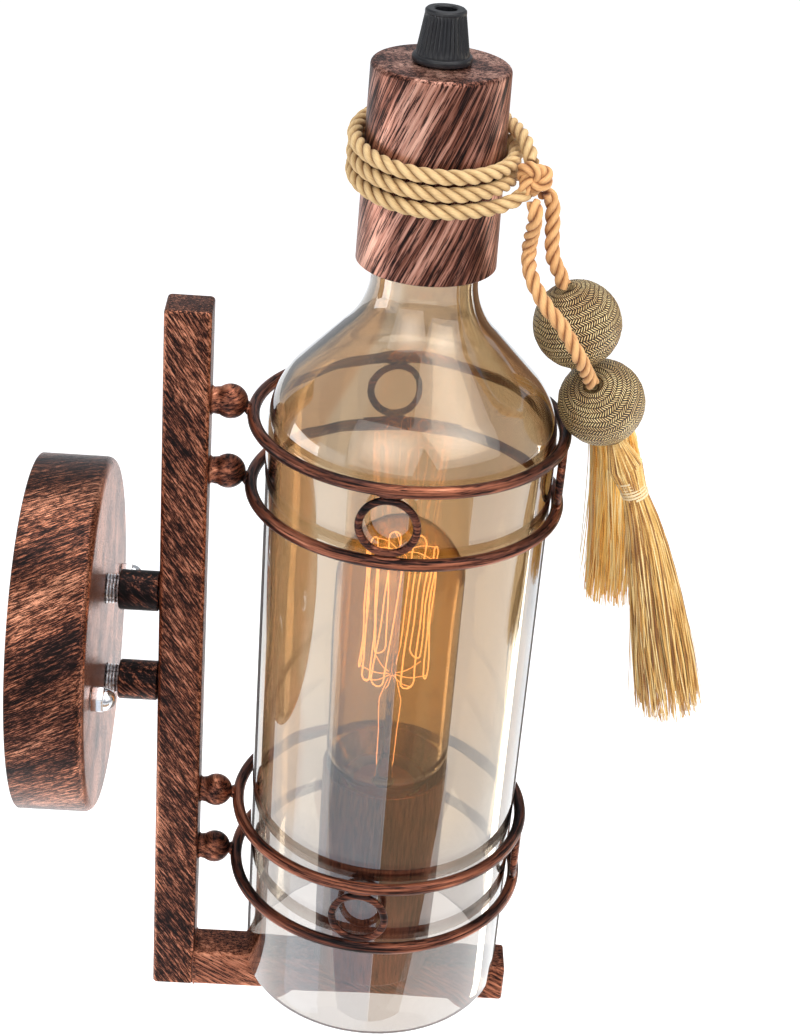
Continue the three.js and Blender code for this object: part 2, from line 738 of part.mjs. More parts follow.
// Cap over the neck and the grip on top of it
function topCap() {
  const shell = cup(capTopRadius, capMouthRadius, capHeight, nippleRadius + fit).rotateX(Math.PI);
  const flangeFrom = capTop + fit;
  const gripTo = flangeFrom + gripHeight;
  const grip = turned(loop([
    [gripBore, flangeFrom - fit - gripTail],
    [nippleRadius, flangeFrom - fit - gripTail],
    [nippleRadius, flangeFrom],
    [gripFlangeRadius, flangeFrom],
    [gripFlangeRadius, flangeFrom + gripFlangeThick],
    [gripFootRadius, flangeFrom + gripFlangeThick],
    [gripTopRadius, gripTo - gripRound],
    [gripTopRadius - gripRound, gripTo],
    [gripBore, gripTo],
  ]), 2 * gripFlutes);
  const p = grip.attributes.position;
  for (let i = 0; i < p.count; i += 1) {
    const turn = Math.atan2(p.getY(i), p.getX(i));
    const r = Math.hypot(p.getX(i), p.getY(i));
    const onFlute = p.getZ(i) > flangeFrom + gripFlangeThick - weldReach && r > gripTopRadius - weldReach
      && p.getZ(i) < gripTo - weldReach && r < gripFlangeRadius - weldReach;
    const valley = Math.round((turn * gripFlutes) / Math.PI) % 2 !== 0;
    const scale = onFlute && valley ? (r - gripFluteDepth) / r : 1;
    p.setXY(i, p.getX(i) * scale, p.getY(i) * scale);
  }
  const nutTo = capTop - cupWall - fit;
  const nut = hexNut(gripNutAcross, nippleRadius + fit, nutTo - gripNutThick, nutTo);
  return [
    piece('top_cap', 'copper', shell, 0, 0, capTop),
    piece('cord_grip', 'black', grip),
    piece('cord_grip_nut', 'steel', nut),
  ];
}

// Where the cap's outside lies at a height
const capRadiusAt = (z) => capTopRadius + ((capMouthRadius - capTopRadius) * (capTop - z)) / capHeight;

// Places of the rope: the winding, the knot in front of it, and the beads that hang against the top ring
const windSweep = ropeTurns * 360;
const windSlope = Math.tan(ropeTilt * rad);
const windLowest = ropeTopHeight - ropeTurns * ropePitch - ropeRadius - windSlope * capMouthRadius;
const windRadius = capRadiusAt(windLowest) + fit + ropeRadius;
const knotOut = windRadius + ropeRadius + fit + knotRadius; // bottle's axis to the knot
const knotAngle = Math.acos(windRadius / knotOut) / rad; // where the ends leave the winding
const windDrop = (ropePitch * (windSweep - 2 * knotAngle)) / 360;
const around = (turn, out, z) => // a place round the bottle, the turn taken from the front
  new THREE.Vector3(out * Math.sin(turn * rad), -out * Math.cos(turn * rad), z);
const knotMiddle = around(knotTurn, knotOut, 0);
const knot = knotMiddle.setZ(ropeTopHeight - windDrop / 2 + windSlope * knotMiddle.x - knotSag);
const seatReach = ringWire / 2 + beadRadius + beadGap;
const beadLower = new THREE.Vector3(
  -beadAside,
  -(ringRadius - cageInward + seatReach * Math.cos(beadSeat * rad)),
  ringHeights[0] + seatReach * Math.sin(beadSeat * rad),
);
const beadUpper = new THREE.Vector3(...beadLean).normalize()
  .multiplyScalar(2 * beadRadius + beadGap).add(beadLower);

// A point on the way from a bead's or the knot's middle, at its skin plus a clearance
const onSkin = (middle, radius, way, extra = 0) =>
  way.clone().normalize().multiplyScalar(radius + fit + extra).add(middle);

function ropeWinding() {
  const sweep = windSweep - 2 * knotAngle;
  const steps = Math.round((sweep / 360) * stepsLoop);
  const onTurns = Array.from({ length: steps + 1 }, (unused, i) => {
    const t = i / steps;
    const place = around(knotTurn + knotAngle + t * sweep, windRadius, 0);
    return place.setZ(ropeTopHeight - t * windDrop + windSlope * place.x);
  });

  // Each end leaves the last turn straight and bends into the knot
  const toKnot = Math.sqrt(knotOut ** 2 - windRadius ** 2);
  const onEnd = (from, target) => (way) => {
    const z = from.z + (target.z - from.z) * (way / toKnot) ** 3;
    return from.clone().lerp(target, way / toKnot).setZ(z);
  };
  const entry = (side) => knot.clone().add(new THREE.Vector3(0, 0, side * knotEntry));
  const upper = onEnd(onTurns[0], entry(1));
  const lower = onEnd(onTurns[steps], entry(-1));
  const run = toKnot - knotRadius - knotStub; // length of each end outside the knot
  const share = [0.4, 0.7, 0.9, 1].map((part) => part * run);
  const points = [...share.map(upper).reverse(), ...onTurns, ...share.map(lower)];

  let least = Infinity;
  points.forEach((a, i) => points.slice(i + stepsLoop / 2).forEach((b) => {
    least = Math.min(least, a.distanceTo(b) - ropeDiameter);
  }));
  console.log(`rope winding: least gap to itself ${least.toFixed(2)} mm`);

  // The knot: a lump that both ends of the winding run into
  const stub = (end) => {
    const inKnot = [0.25, 0.5, 1].map((part) => run + part * knotStub);
    return tube([run + fit, ...inKnot, toKnot].map(end), ropeRadius, stepsRope);
  };
  const lump = new THREE.SphereGeometry(knotRadius, 12, 8).scale(...knotShape)
    .rotateZ(knotTurn * rad).translate(knot.x, knot.y, knot.z);
  return [
    piece('rope_winding', 'rope', tube(points, ropeRadius, stepsWire)),
    piece('knot', 'rope', joined(lump, stub(upper), stub(lower))),
  ];
}

// Two strands, each with a bead and a tassel
function pendants() {
  const knotReach = knotRadius * Math.max(...knotShape) + strandOff;
  const clearBead = beadRadius + ropeRadius + beadGap; // a strand's axis round a bead
  const besideBead = (x, y, z, share) => // the share of the bead's radius that the strand stays off it
    onSkin(beadUpper, clearBead - fit, new THREE.Vector3(x, y, z), share * beadRadius);

  const shortEnd = new THREE.Vector3(-0.12, 0.4, 0.91);
  const shortStart = new THREE.Vector3(0.35, -0.6, -0.72);
  const strandShort = smooth([
    onSkin(knot, knotReach, shortStart),
    onSkin(knot, knotReach, shortStart, ropeDiameter),
    onSkin(beadUpper, beadRadius, shortEnd, 2.5 * ropeDiameter),
    onSkin(beadUpper, beadRadius, shortEnd, ropeDiameter),
    onSkin(beadUpper, beadRadius, shortEnd),
  ], 8);

  const longEnd = new THREE.Vector3(-0.6, 0.35, 0.72);
  const longStart = new THREE.Vector3(-0.45, -0.12, -0.88);
  const strandLong = smooth([
    onSkin(knot, knotReach, longStart),
    onSkin(knot, knotReach, longStart, ropeDiameter),
    knot.clone().add(new THREE.Vector3(...strandBend)),
    besideBead(-0.56, 0.9, 1, 0.75),
    besideBead(-0.8, 0.66, 0.62, 0.375),
    besideBead(-0.93, 0.4, 0.34, 0.105),
    besideBead(-0.98, 0.03, -0.2, 0.045),
    onSkin(beadLower, beadRadius, longEnd, ropeDiameter),
    onSkin(beadLower, beadRadius, longEnd),
  ], 14);

  const bead = () => new THREE.SphereGeometry(beadRadius, 16, 10).rotateX(Math.PI / 2);
  const tassel = (start, stations) => {
    const hundredth = tasselLength / 100;
    const rows = stations.map(([x, y, z, radius]) => ({
      middle: new THREE.Vector3(x, y, z).multiplyScalar(hundredth).add(start),
      radius: radius * hundredth,
    }));
    return fluted(rows, tasselFlutes, tasselFluteDepth);
  };
  // Stations of each tassel, in hundredths of its length from the bead's skin: head, binding, then skirt
  const upperStart = onSkin(beadUpper, beadRadius, new THREE.Vector3(0.69, -0.12, -0.714));
  const tasselUpper = tassel(upperStart, [
    [0, 0, 0, 2.4], [4.6, -1.3, -4, 3.2], [9.6, -3.6, -10.8, 3.6], [11.6, -7, -18, 4.2],
    [12, -12.2, -26, 6.2], [12, -17.2, -38, 7.8], [11.6, -20.6, -58, 8.8], [11.2, -22.8, -79, 9.4],
    [11.2, -24, -99.5, 9.8],
  ]);
  const lowerStart = onSkin(beadLower, beadRadius, new THREE.Vector3(-0.05, -0.42, -0.906));
  const tasselLower = tassel(lowerStart, [
    [0, 0, 0, 2.6], [-0.1, -1.6, -3, 5.2], [-0.3, -3.6, -7.4, 6], [-0.5, -5.4, -11.4, 4.8],
    [-0.6, -6.6, -14, 3.9], [-0.8, -9.2, -20, 3.9], [-1.1, -13, -31, 6.2], [-1.6, -19, -52, 8.4],
    [-2.1, -24.6, -75, 10.2], [-2.3, -30, -99, 11.2],
  ]);
  return [
    piece('strand_short', 'rope', tube(strandShort, ropeRadius, stepsRope)),
    piece('strand_long', 'rope', tube(strandLong, ropeRadius, stepsRope)),
    piece('bead_upper', 'bead', bead(), ...beadUpper.toArray()),
    piece('bead_lower', 'bead', bead(), ...beadLower.toArray()),
    piece('tassel_upper', 'tassel', tasselUpper),
    piece('tassel_lower', 'tassel', tasselLower),
  ];
}

// Terminal block in the canopy and the two wires through nipple, upright, arm and cup to the lampholder
function wiring() {
  const blockFrom = bracketThick + fit;
  const box = block([-blockWidth / 2, -blockFrom - blockDepth, -blockHeight / 2],
    [blockWidth / 2, -blockFrom, blockHeight / 2]);
  const screws = [-1, 1].map((s) => rod(blockScrew, -blockScrewDepth, past, 10).rotateX(Math.PI / 2)
    .translate((s * blockWidth) / 4, -blockFrom - blockDepth, 0));
  const terminal = cut(box, ...screws);

  const low = -nippleSpacing / 2;
  const insertFrom = insertTop - insertThick;
  const path = (x) => {
    const corners = [
      [-blockFrom - blockDepth / 2, -blockHeight / 2 - fit],
      [-blockFrom - blockDepth / 2, low],
      [-uprightMiddle, low],
      [-uprightMiddle, armMiddle],
      [-bottleOut, armMiddle],
      [-bottleOut, insertFrom - fit],
    ].map(([y, z]) => new THREE.Vector3(x, y, z));
    const points = [corners[0]];
    for (let i = 1; i < corners.length - 1; i += 1) {
      const [before, here, after] = [corners[i - 1], corners[i], corners[i + 1]];
      const inward = before.clone().sub(here).normalize();
      const onward = after.clone().sub(here).normalize();
      const centre = here.clone().addScaledVector(inward, wireBend).addScaledVector(onward, wireBend);
      for (let k = 0; k <= 3; k += 1) {
        const a = (Math.PI / 2) * (k / 3);
        points.push(centre.clone().addScaledVector(onward, -wireBend * Math.cos(a))
          .addScaledVector(inward, -wireBend * Math.sin(a)));
      }
    }
    return [...points, corners[corners.length - 1]];
  };
  return [
    piece('terminal_block', 'ceramic', terminal),
    piece('wire_live', 'wireBrown', tube(path(-wireSpread / 2), wireDiameter / 2, stepsWire)),
    piece('wire_neutral', 'wireBlue', tube(path(wireSpread / 2), wireDiameter / 2, stepsWire)),
  ];
}

const lamp = new THREE.Group();
lamp.add(wallPlate(), ...arms(), ...tubes(), ...cages(), ...wiring());
lamp.add(group(-bottleOut, ...lampHolder(), ...bulb(), ...bottle(), ...topCap(), ...ropeWinding(),
  ...pendants()));

export default lamp;
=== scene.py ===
import math
import random

import bmesh
import bpy
from mathutils import Matrix, Vector, kdtree, noise


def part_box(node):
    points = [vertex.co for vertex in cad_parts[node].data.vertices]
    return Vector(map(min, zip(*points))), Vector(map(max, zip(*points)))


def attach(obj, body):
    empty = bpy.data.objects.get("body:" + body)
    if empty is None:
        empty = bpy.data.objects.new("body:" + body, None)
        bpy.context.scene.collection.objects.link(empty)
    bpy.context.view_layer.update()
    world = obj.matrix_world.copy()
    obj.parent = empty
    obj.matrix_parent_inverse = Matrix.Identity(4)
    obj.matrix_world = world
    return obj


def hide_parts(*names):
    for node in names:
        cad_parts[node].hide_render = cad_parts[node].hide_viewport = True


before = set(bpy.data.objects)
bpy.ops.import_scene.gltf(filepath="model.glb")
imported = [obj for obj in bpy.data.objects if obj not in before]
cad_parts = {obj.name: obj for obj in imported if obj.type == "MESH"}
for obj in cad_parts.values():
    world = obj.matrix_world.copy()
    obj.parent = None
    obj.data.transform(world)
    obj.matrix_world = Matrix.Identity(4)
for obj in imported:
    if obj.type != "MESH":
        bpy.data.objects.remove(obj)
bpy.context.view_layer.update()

# Bottle wall lamp. Lengths are in millimetres, counted as the frame's own axes run, and every piece is
# brought to metres at the end of its making. The camera, the lights and the boards are placed in metres.
mm = 0.001
axisY = (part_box("bottle")[0].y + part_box("bottle")[1].y) / 2 / mm  # the bottle's upright axis
uprightY = (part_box("upright_tube")[0].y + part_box("upright_tube")[1].y) / 2 / mm
onAxis = Vector((0, axisY, 0))
chance = random.Random(5)

camera = {
    "place": (-0.5882, -0.0974, 0.3682),
    "right": (-0.00215, -0.99754, 0.0701),
    "up": (0.4755, 0.06065, 0.8777),
    "ahead": (0.8798, -0.0352, -0.4742),
    "lens": 70.69,
}


def newObject(name, data):
    made = bpy.data.objects.new(name, data)
    bpy.context.scene.collection.objects.link(made)
    return made


def setCamera():
    data = bpy.data.cameras.new("camera")
    data.lens = camera["lens"]
    data.clip_start, data.clip_end = 0.02, 40
    made = newObject("camera", data)
    axes = [Vector(camera["right"]), Vector(camera["up"]), -Vector(camera["ahead"])]
    made.matrix_world = Matrix.Translation(camera["place"]) @ Matrix(axes).transposed().to_4x4()
    bpy.context.scene.camera = made


setCamera()
print("camera set")


# Materials: small helpers for nodes
def newLook(name, **sockets):
    material = bpy.data.materials.new(name)
    material.use_nodes = True
    shader = material.node_tree.nodes["Principled BSDF"]
    for key, value in sockets.items():
        shader.inputs[key.replace("_", " ")].default_value = value
    return material, material.node_tree, shader


def feed(tree, slot, value):
    # a link where the value comes out of a node, or else the plain value
    if isinstance(value, bpy.types.NodeSocket):
        tree.links.new(value, slot)
    else:
        slot.default_value = value


def add(tree, kind, inputs=None, **settings):
    made = tree.nodes.new("ShaderNode" + kind)
    for key, value in settings.items():
        setattr(made, key, value)
    for key, value in (inputs or {}).items():
        feed(tree, made.inputs[key], value)
    return made


def objectPlace(tree):
    return add(tree, "TexCoord").outputs["Object"]


def mapped(tree, vector, **settings):
    return add(tree, "Mapping", {"Vector": vector, **settings}).outputs[0]


def split(tree, vector):
    return add(tree, "SeparateXYZ", {"Vector": vector}).outputs


def objectPattern(tree, scale=(1, 1, 1), turn=(0, 0, 0)):
    place = mapped(tree, objectPlace(tree), Rotation=[math.radians(a) for a in turn])
    return mapped(tree, place, Scale=scale)


def noiseOn(tree, vector, scale, detail=4, roughness=0.6):
    inputs = {"Vector": vector, "Scale": scale, "Detail": detail, "Roughness": roughness}
    return add(tree, "TexNoise", inputs).outputs["Fac"]


def ramp(tree, value, stops):
    made = add(tree, "ValToRGB", {"Fac": value})
    bar = made.color_ramp.elements
    while len(bar) < len(stops):
        bar.new(0.5)
    for stop, (place, colour) in zip(bar, stops):
        stop.position, stop.color = place, (*colour, 1)
    return made.outputs[0]


def calc(tree, how, a, b=0.0, c=0.0):
    made = add(tree, "Math", operation=how)
    for slot, value in zip(made.inputs, (a, b, c)):
        feed(tree, slot, value)
    return made.outputs[0]


def times(tree, a, b, more=0.0):
    # a times b, and more on top
    return calc(tree, "MULTIPLY_ADD", a, b, more)


def mixed(tree, share, first, second, how="MIX"):
    made = add(tree, "Mix", data_type="RGBA", blend_type=how)
    for index, value in ((0, share), (6, first), (7, second)):
        feed(tree, made.inputs[index], (*value, 1) if isinstance(value, tuple) else value)
    return made.outputs[2]


def spread(tree, value, low, high, fromLow=0.0, fromHigh=1.0):
    inputs = {"Value": value, "From Min": fromLow, "From Max": fromHigh, "To Min": low, "To Max": high}
    return add(tree, "MapRange", inputs).outputs[0]


def bumped(tree, shader, height, strength, distance):
    made = add(tree, "Bump", {"Height": height, "Strength": strength, "Distance": distance})
    tree.links.new(made.outputs[0], shader.inputs["Normal"])


def into(tree, value, shader, socket):
    tree.links.new(value, shader.inputs[socket])


def centredOn(tree, middle):
    return mapped(tree, objectPlace(tree), Location=(0, -middle * mm, 0))


def angleRound(tree, part):
    # the angle round an upright axis, 0 toward -X
    return calc(tree, "ARCTAN2", part["Y"], times(tree, part["X"], -1.0))


def leaning(tree, place, axis, lean, radius):
    # the place turned round an axis, further the more it lies along it: a lean in degrees at a radius
    twist = times(tree, split(tree, place)[axis], math.tan(math.radians(lean)) / (radius * mm))
    inputs = {"Vector": place, "Angle": twist}
    return add(tree, "VectorRotate", inputs, rotation_type=f"{axis}_AXIS").outputs[0]


def straightStrokes(turn):
    return lambda tree, scale: objectPattern(tree, scale, turn)


def wrappedStrokes(lean, radius):
    # strokes that lean round the bottle's axis
    return lambda tree, scale: mapped(tree, leaning(tree, centredOn(tree, axisY), "Z", lean, radius),
                                      Scale=scale)


def rimStrokes(lean, radius):
    # strokes along the depth of the canopy's rim, that lean round it; its front shows their ends as specks
    return lambda tree, scale: mapped(tree, leaning(tree, objectPlace(tree), "Y", lean, radius),
                                      Scale=(scale[0], scale[2], scale[1]))


def roundStrokes(middle):
    # strokes that run round an upright axis; the third axis of the pattern follows them
    def pattern(tree, scale):
        centred = centredOn(tree, middle)
        part = split(tree, centred)
        out = add(tree, "VectorMath", {0: centred}, operation="LENGTH").outputs["Value"]
        way = times(tree, angleRound(tree, part), 0.05)
        made = add(tree, "CombineXYZ", {"X": out, "Y": part["Z"], "Z": way}).outputs[0]
        return mapped(tree, made, Scale=scale)
    return pattern


def edgeWear(first, second, half):
    # 1 along the long edges of a square tube; first and second are an axis and the tube's middle on it
    def wearAndSheen(tree):
        part = split(tree, objectPlace(tree))
        away = [calc(tree, "ABSOLUTE", calc(tree, "SUBTRACT", part[axis], middle * mm))
                for axis, middle in (first, second)]
        return spread(tree, calc(tree, "MINIMUM", *away), 0.0, 1.0, (half - 1.6) * mm, (half - 0.3) * mm)
    return wearAndSheen


def paintedFrontSheen(full, none):
    # painted sheen on the canopy's front face: 1 beyond the first distance from the wall, 0 within the
    # second, so the whole front face is lighter as if it mirrored the bright studio
    return lambda tree: spread(tree, split(tree, objectPlace(tree))["Y"], 1.0, 0.0, -full * mm, -none * mm)


# Dark lacquer brushed through to copper. The strokes run along the pattern's third axis.
copperTones = {
    "black": (0.012, 0.007, 0.008),
    "dark": (0.050, 0.018, 0.014),
    "brown": (0.150, 0.048, 0.028),
    "copper": (0.36, 0.120, 0.062),
    "bright": (0.72, 0.31, 0.18),
    "rose": (0.38, 0.165, 0.115),
    "pale": (0.76, 0.43, 0.32),
}


def brushedCopper(name, pattern, size, stops, lacquer, mottle=0.4, roughness=(0.3, 0.5), relief=0.4,
                  short=1.0, wearAndSheen=None):
    material, tree, shader = newLook(name, Metallic=0.75)

    def strokes(across, along, detail, rough):
        scale = (across / size, across / size, along * short / size)
        return noiseOn(tree, pattern(tree, scale), 1.0, detail, rough)

    patch = noiseOn(tree, pattern(tree, (70, 70, 24)), 1.0, 2, 0.5)
    middle = strokes(600, 26, 4, 0.65)
    fine = strokes(1700, 80, 3, 0.7)
    value = times(tree, middle, 1 - mottle, times(tree, patch, mottle))
    stroke = times(tree, fine, 0.60, times(tree, middle, 0.30))
    stroke = times(tree, patch, 0.10, stroke)
    # this mask lightens the copper: real wear on the tubes' long edges, painted sheen on the canopy's front
    # face
    if wearAndSheen:
        wornAndSheen = wearAndSheen(tree)
        value = times(tree, wornAndSheen, 0.06, value)
        stroke = times(tree, wornAndSheen, 0.05, stroke)
    colour = ramp(tree, value, [(place, copperTones[tone]) for place, tone in stops])
    left = ramp(tree, stroke, [(lacquer - 0.025, (0.05, 0.04, 0.05)), (lacquer + 0.02, (1, 1, 1))])
    into(tree, mixed(tree, 0.95, colour, left, "MULTIPLY"), shader, "Base Color")
    into(tree, spread(tree, stroke, roughness[1], roughness[0], 0.4, 0.6), shader, "Roughness")
    bumped(tree, shader, stroke, relief, 0.0002)
    return material


def plainMetal(name, colour, roughness, grain=900, **sockets):
    material, tree, shader = newLook(name, Metallic=1.0, **sockets)
    fine = noiseOn(tree, objectPattern(tree), grain, 4)
    dull = [0.72 * c for c in colour]
    into(tree, ramp(tree, fine, [(0.3, dull), (0.65, colour)]), shader, "Base Color")
    into(tree, spread(tree, fine, roughness * 0.7, roughness * 1.4, 0.3, 0.7), shader, "Roughness")
    bumped(tree, shader, fine, 0.12, 0.0001)
    return material


def plainMatt(name, colour, roughness, grain=700, depth=0.15, dark=0.7):
    material, tree, shader = newLook(name)
    fine = noiseOn(tree, objectPattern(tree), grain, 5)
    into(tree, ramp(tree, fine, [(0.3, [dark * c for c in colour]), (0.68, colour)]), shader, "Base Color")
    into(tree, spread(tree, fine, roughness * 0.85, roughness * 1.15, 0.3, 0.7), shader, "Roughness")
    bumped(tree, shader, fine, depth, 0.0002)
    return material


def tintedGlass(name, pale, deep, patch, lustre, sheenTone, body, paintedReflectionBands=None):
    # glass with a thin mirror-like lustre fired on it, stronger than clear glass reflects
    material, tree, shader = newLook(name, Transmission_Weight=1.0, IOR=1.5, Roughness=0.0, Coat_Weight=1.0,
                                     Coat_IOR=lustre, Coat_Roughness=0.015, Coat_Tint=(*sheenTone, 1))
    cloud = noiseOn(tree, objectPattern(tree, (1, 1, 0.35)), patch, 2, 0.5)
    colour = ramp(tree, cloud, [(0.35, pale), (0.68, deep)])
    if paintedReflectionBands:
        colour = withPaintedReflections(tree, colour, paintedReflectionBands)
    into(tree, colour, shader, "Base Color")
    tone, density = body
    depth = add(tree, "VolumeAbsorption", {"Color": (*tone, 1), "Density": density})
    tree.links.new(depth.outputs[0], tree.nodes["Material Output"].inputs["Volume"])
    return material


def withPaintedReflections(tree, colour, paintedReflectionBands):
    # painted reflections: bands of amber and near-white tint up the glass, set by the angle round the
    # bottle's axis where the studio's reflections fall in view; toward its foot they fade into a plain
    # darker grey tint
    part = split(tree, centredOn(tree, axisY))
    sway = noiseOn(tree, objectPattern(tree), 13, 2)
    share = times(tree, angleRound(tree, part), 0.5 / math.pi, 0.5)
    share = times(tree, calc(tree, "SUBTRACT", sway, 0.5), paintedReflectionBands["sway"], share)
    tinted = mixed(tree, 1.0, colour, ramp(tree, share, paintedReflectionBands["stops"]), "MULTIPLY")
    height = times(tree, sway, 0.05, part["Z"])
    fade = spread(tree, height, 0.0, 1.0, *paintedReflectionBands["fade"])
    return mixed(tree, fade, paintedReflectionBands["foot"], tinted)


def uvParts(tree):
    # a thread's UV map holds the share of the way round and the millimetres along, a bead's two shares
    parts = split(tree, add(tree, "UVMap").outputs[0])
    return parts["X"], parts["Y"]


def ropeLookOf(name, deep, middle, light):
    # plies of fine fibres, with painted shade: dark brown in the crevices where they lie against each other
    material, tree, shader = newLook(name, Roughness=0.7, Sheen_Weight=0.1)
    across, along = uvParts(tree)
    twisted = times(tree, along, 0.05, across)
    fibres = add(tree, "CombineXYZ", {"X": times(tree, twisted, 30.0),
                                      "Y": times(tree, along, 0.30)}).outputs[0]
    fibre = noiseOn(tree, fibres, 1.0, 3, 0.6)
    patch = noiseOn(tree, objectPattern(tree), 170, 3)
    lift = add(tree, "Attribute", attribute_name="lift").outputs["Fac"]
    # painted shade: the nearer a place lies to the rope's core line, the darker its colour
    value = times(tree, fibre, 0.34, times(tree, lift, 0.72))
    value = times(tree, patch, 0.16, value)
    into(tree, ramp(tree, value, [(0.56, deep), (0.74, middle), (0.98, light)]), shader, "Base Color")
    bumped(tree, shader, fibre, 0.7, 0.0003)
    return material


def threadLook(name, stops):
    # straight shining threads, each of its own tone
    material, tree, shader = newLook(name, Roughness=0.45, Sheen_Weight=0.12)
    across, along = uvParts(tree)
    twist = calc(tree, "SINE", times(tree, calc(tree, "ADD", along, across), 2 * math.pi))
    own = add(tree, "Attribute", attribute_name="tone").outputs["Fac"]
    patch = noiseOn(tree, objectPattern(tree, (1, 1, 0.2)), 260, 2)
    value = times(tree, own, 0.55, times(tree, patch, 0.45))
    value = times(tree, twist, 0.03, value)
    into(tree, ramp(tree, value, stops), shader, "Base Color")
    bumped(tree, shader, twist, 0.2, 0.0001)
    return material


# Shapes: small helpers
def objectOf(name, bm):
    mesh = bpy.data.meshes.new(name)
    bm.to_mesh(mesh)
    bm.free()
    return newObject(name, mesh)


def evaluatedMesh(made):
    return bpy.data.meshes.new_from_object(made.evaluated_get(bpy.context.evaluated_depsgraph_get()))


def finished(name, bm, look, body, stands=None, crease=35, shift=(0, 0, 0), keepFaces=False):
    if not keepFaces:
        bmesh.ops.recalc_face_normals(bm, faces=bm.faces)
    bmesh.ops.translate(bm, vec=Vector(shift), verts=bm.verts)
    bmesh.ops.scale(bm, vec=(mm, mm, mm), verts=bm.verts)
    for face in bm.faces:
        face.smooth = True
    made = objectOf(name, bm)
    if crease:
        made.data.set_sharp_from_angle(angle=math.radians(crease))
    made.data.materials.append(look)
    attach(made, body)
    if stands:
        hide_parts(stands)
    return made


def arc(x, z, radius, start, end, steps):
    angles = [math.radians(start + (end - start) * i / steps) for i in range(steps + 1)]
    return [(x + radius * math.cos(a), z + radius * math.sin(a)) for a in angles]


def turned(profile, steps=96, hollow=False, bm=None):
    # a profile of (radius, height) spun about Z; a hollow one closes on its first point
    own = bmesh.new()
    points = [own.verts.new((r, 0, z)) for r, z in profile]
    edges = [own.edges.new(pair) for pair in zip(points, points[1:])]
    if hollow:
        edges.append(own.edges.new((points[-1], points[0])))
    bmesh.ops.spin(own, geom=points + edges, cent=(0, 0, 0), axis=(0, 0, 1), angle=2 * math.pi,
                   steps=steps, use_merge=True)
    bmesh.ops.remove_doubles(own, verts=own.verts, dist=1e-4)
    bmesh.ops.recalc_face_normals(own, faces=own.faces)
    return joinedInto(bm, own)


def joinedInto(bm, own):
    if bm is None:
        return own
    mesh = bpy.data.meshes.new("part")
    own.to_mesh(mesh)
    own.free()
    bm.from_mesh(mesh)
    bpy.data.meshes.remove(mesh)
    return bm


def moved(bm, verts, turn=None, shift=(0, 0, 0)):
    if turn is not None:
        bmesh.ops.rotate(bm, cent=(0, 0, 0), matrix=turn, verts=verts)
    bmesh.ops.translate(bm, vec=Vector(shift), verts=verts)


def ringSolid(major, minor, steps, sides):
    return turned(arc(major, 0, minor, 90, 450 - 360 / sides, sides - 1), steps, hollow=True)


def lump(bm, middle, size, rough):
    # a rounded blob of weld: an icosphere pressed to the size given, with an uneven skin
    own = bmesh.new()
    bmesh.ops.create_icosphere(own, subdivisions=3, radius=1.0)
    for v in own.verts:
        v.co *= 1 + rough * noise.noise(v.co * 2.3 + Vector(middle))
    bmesh.ops.scale(own, vec=Vector(size), verts=own.verts)
    moved(own, own.verts, shift=middle)
    joinedInto(bm, own)


def bevelled(bm, edges, offset, steps=5):
    bmesh.ops.bevel(bm, geom=edges, offset=offset, affect="EDGES", segments=steps, profile=0.5, material=-1)


def roundedBar(side, corner, length):
    # a bar of square section along Z, from 0 to its length, with rounded long edges
    bm = bmesh.new()
    bmesh.ops.create_cube(bm, size=1.0)
    bmesh.ops.scale(bm, vec=(side, side, length), verts=bm.verts)
    bmesh.ops.translate(bm, vec=(0, 0, length / 2), verts=bm.verts)
    bevelled(bm, [e for e in bm.edges if abs(e.verts[0].co.z - e.verts[1].co.z) > length / 2], corner)
    return bm


def threads(name, lines, radii, look, body, stands, resolution=1, shift=(0, 0, 0), core=None):
    # round threads along lists of points, all with the same number of points: one curve, then a mesh with
    # a UV map, a tone for each thread, and how far each place lifts from the core line, 0 to 1
    curve = bpy.data.curves.new(name, "CURVE")
    curve.dimensions = "3D"
    curve.bevel_depth, curve.bevel_resolution, curve.use_fill_caps = 1.0, resolution, True
    for line, radius in zip(lines, radii):
        spline = curve.splines.new("POLY")
        spline.points.add(len(line) - 1)
        for i, (point, co) in enumerate(zip(spline.points, line)):
            point.co = (*co, 1)
            point.radius = radius[i] if isinstance(radius, (list, tuple)) else radius
    made = newObject(name, curve)
    mesh = evaluatedMesh(made)
    bpy.data.objects.remove(made)
    bpy.data.curves.remove(curve)
    block = len(mesh.vertices) // len(lines)
    lengths = [lengthOf(line) for line in lines]
    corners = mesh.uv_layers[0].data
    for loop in mesh.loops:
        spot = corners[loop.index].uv
        corners[loop.index].uv = (spot.y, spot.x * lengths[min(loop.vertex_index // block, len(lines) - 1)])
    tones = [chance.random() for line in lines]
    tone = mesh.attributes.new("tone", "FLOAT", "POINT")
    tone.data.foreach_set("value", [tones[min(v.index // block, len(lines) - 1)] for v in mesh.vertices])
    if core:
        tree = kdtree.KDTree(len(core))
        for i, point in enumerate(core):
            tree.insert(point, i)
        tree.balance()
        away = [tree.find(v.co)[2] for v in mesh.vertices]
        far = max(away)
        lift = mesh.attributes.new("lift", "FLOAT", "POINT")
        lift.data.foreach_set("value", [a / far for a in away])
    bm = bmesh.new()
    bm.from_mesh(mesh)
    bpy.data.meshes.remove(mesh)
    bmesh.ops.remove_doubles(bm, verts=bm.verts, dist=1e-4)
    return finished(name, bm, look, body, stands, crease=60, shift=shift, keepFaces=True)


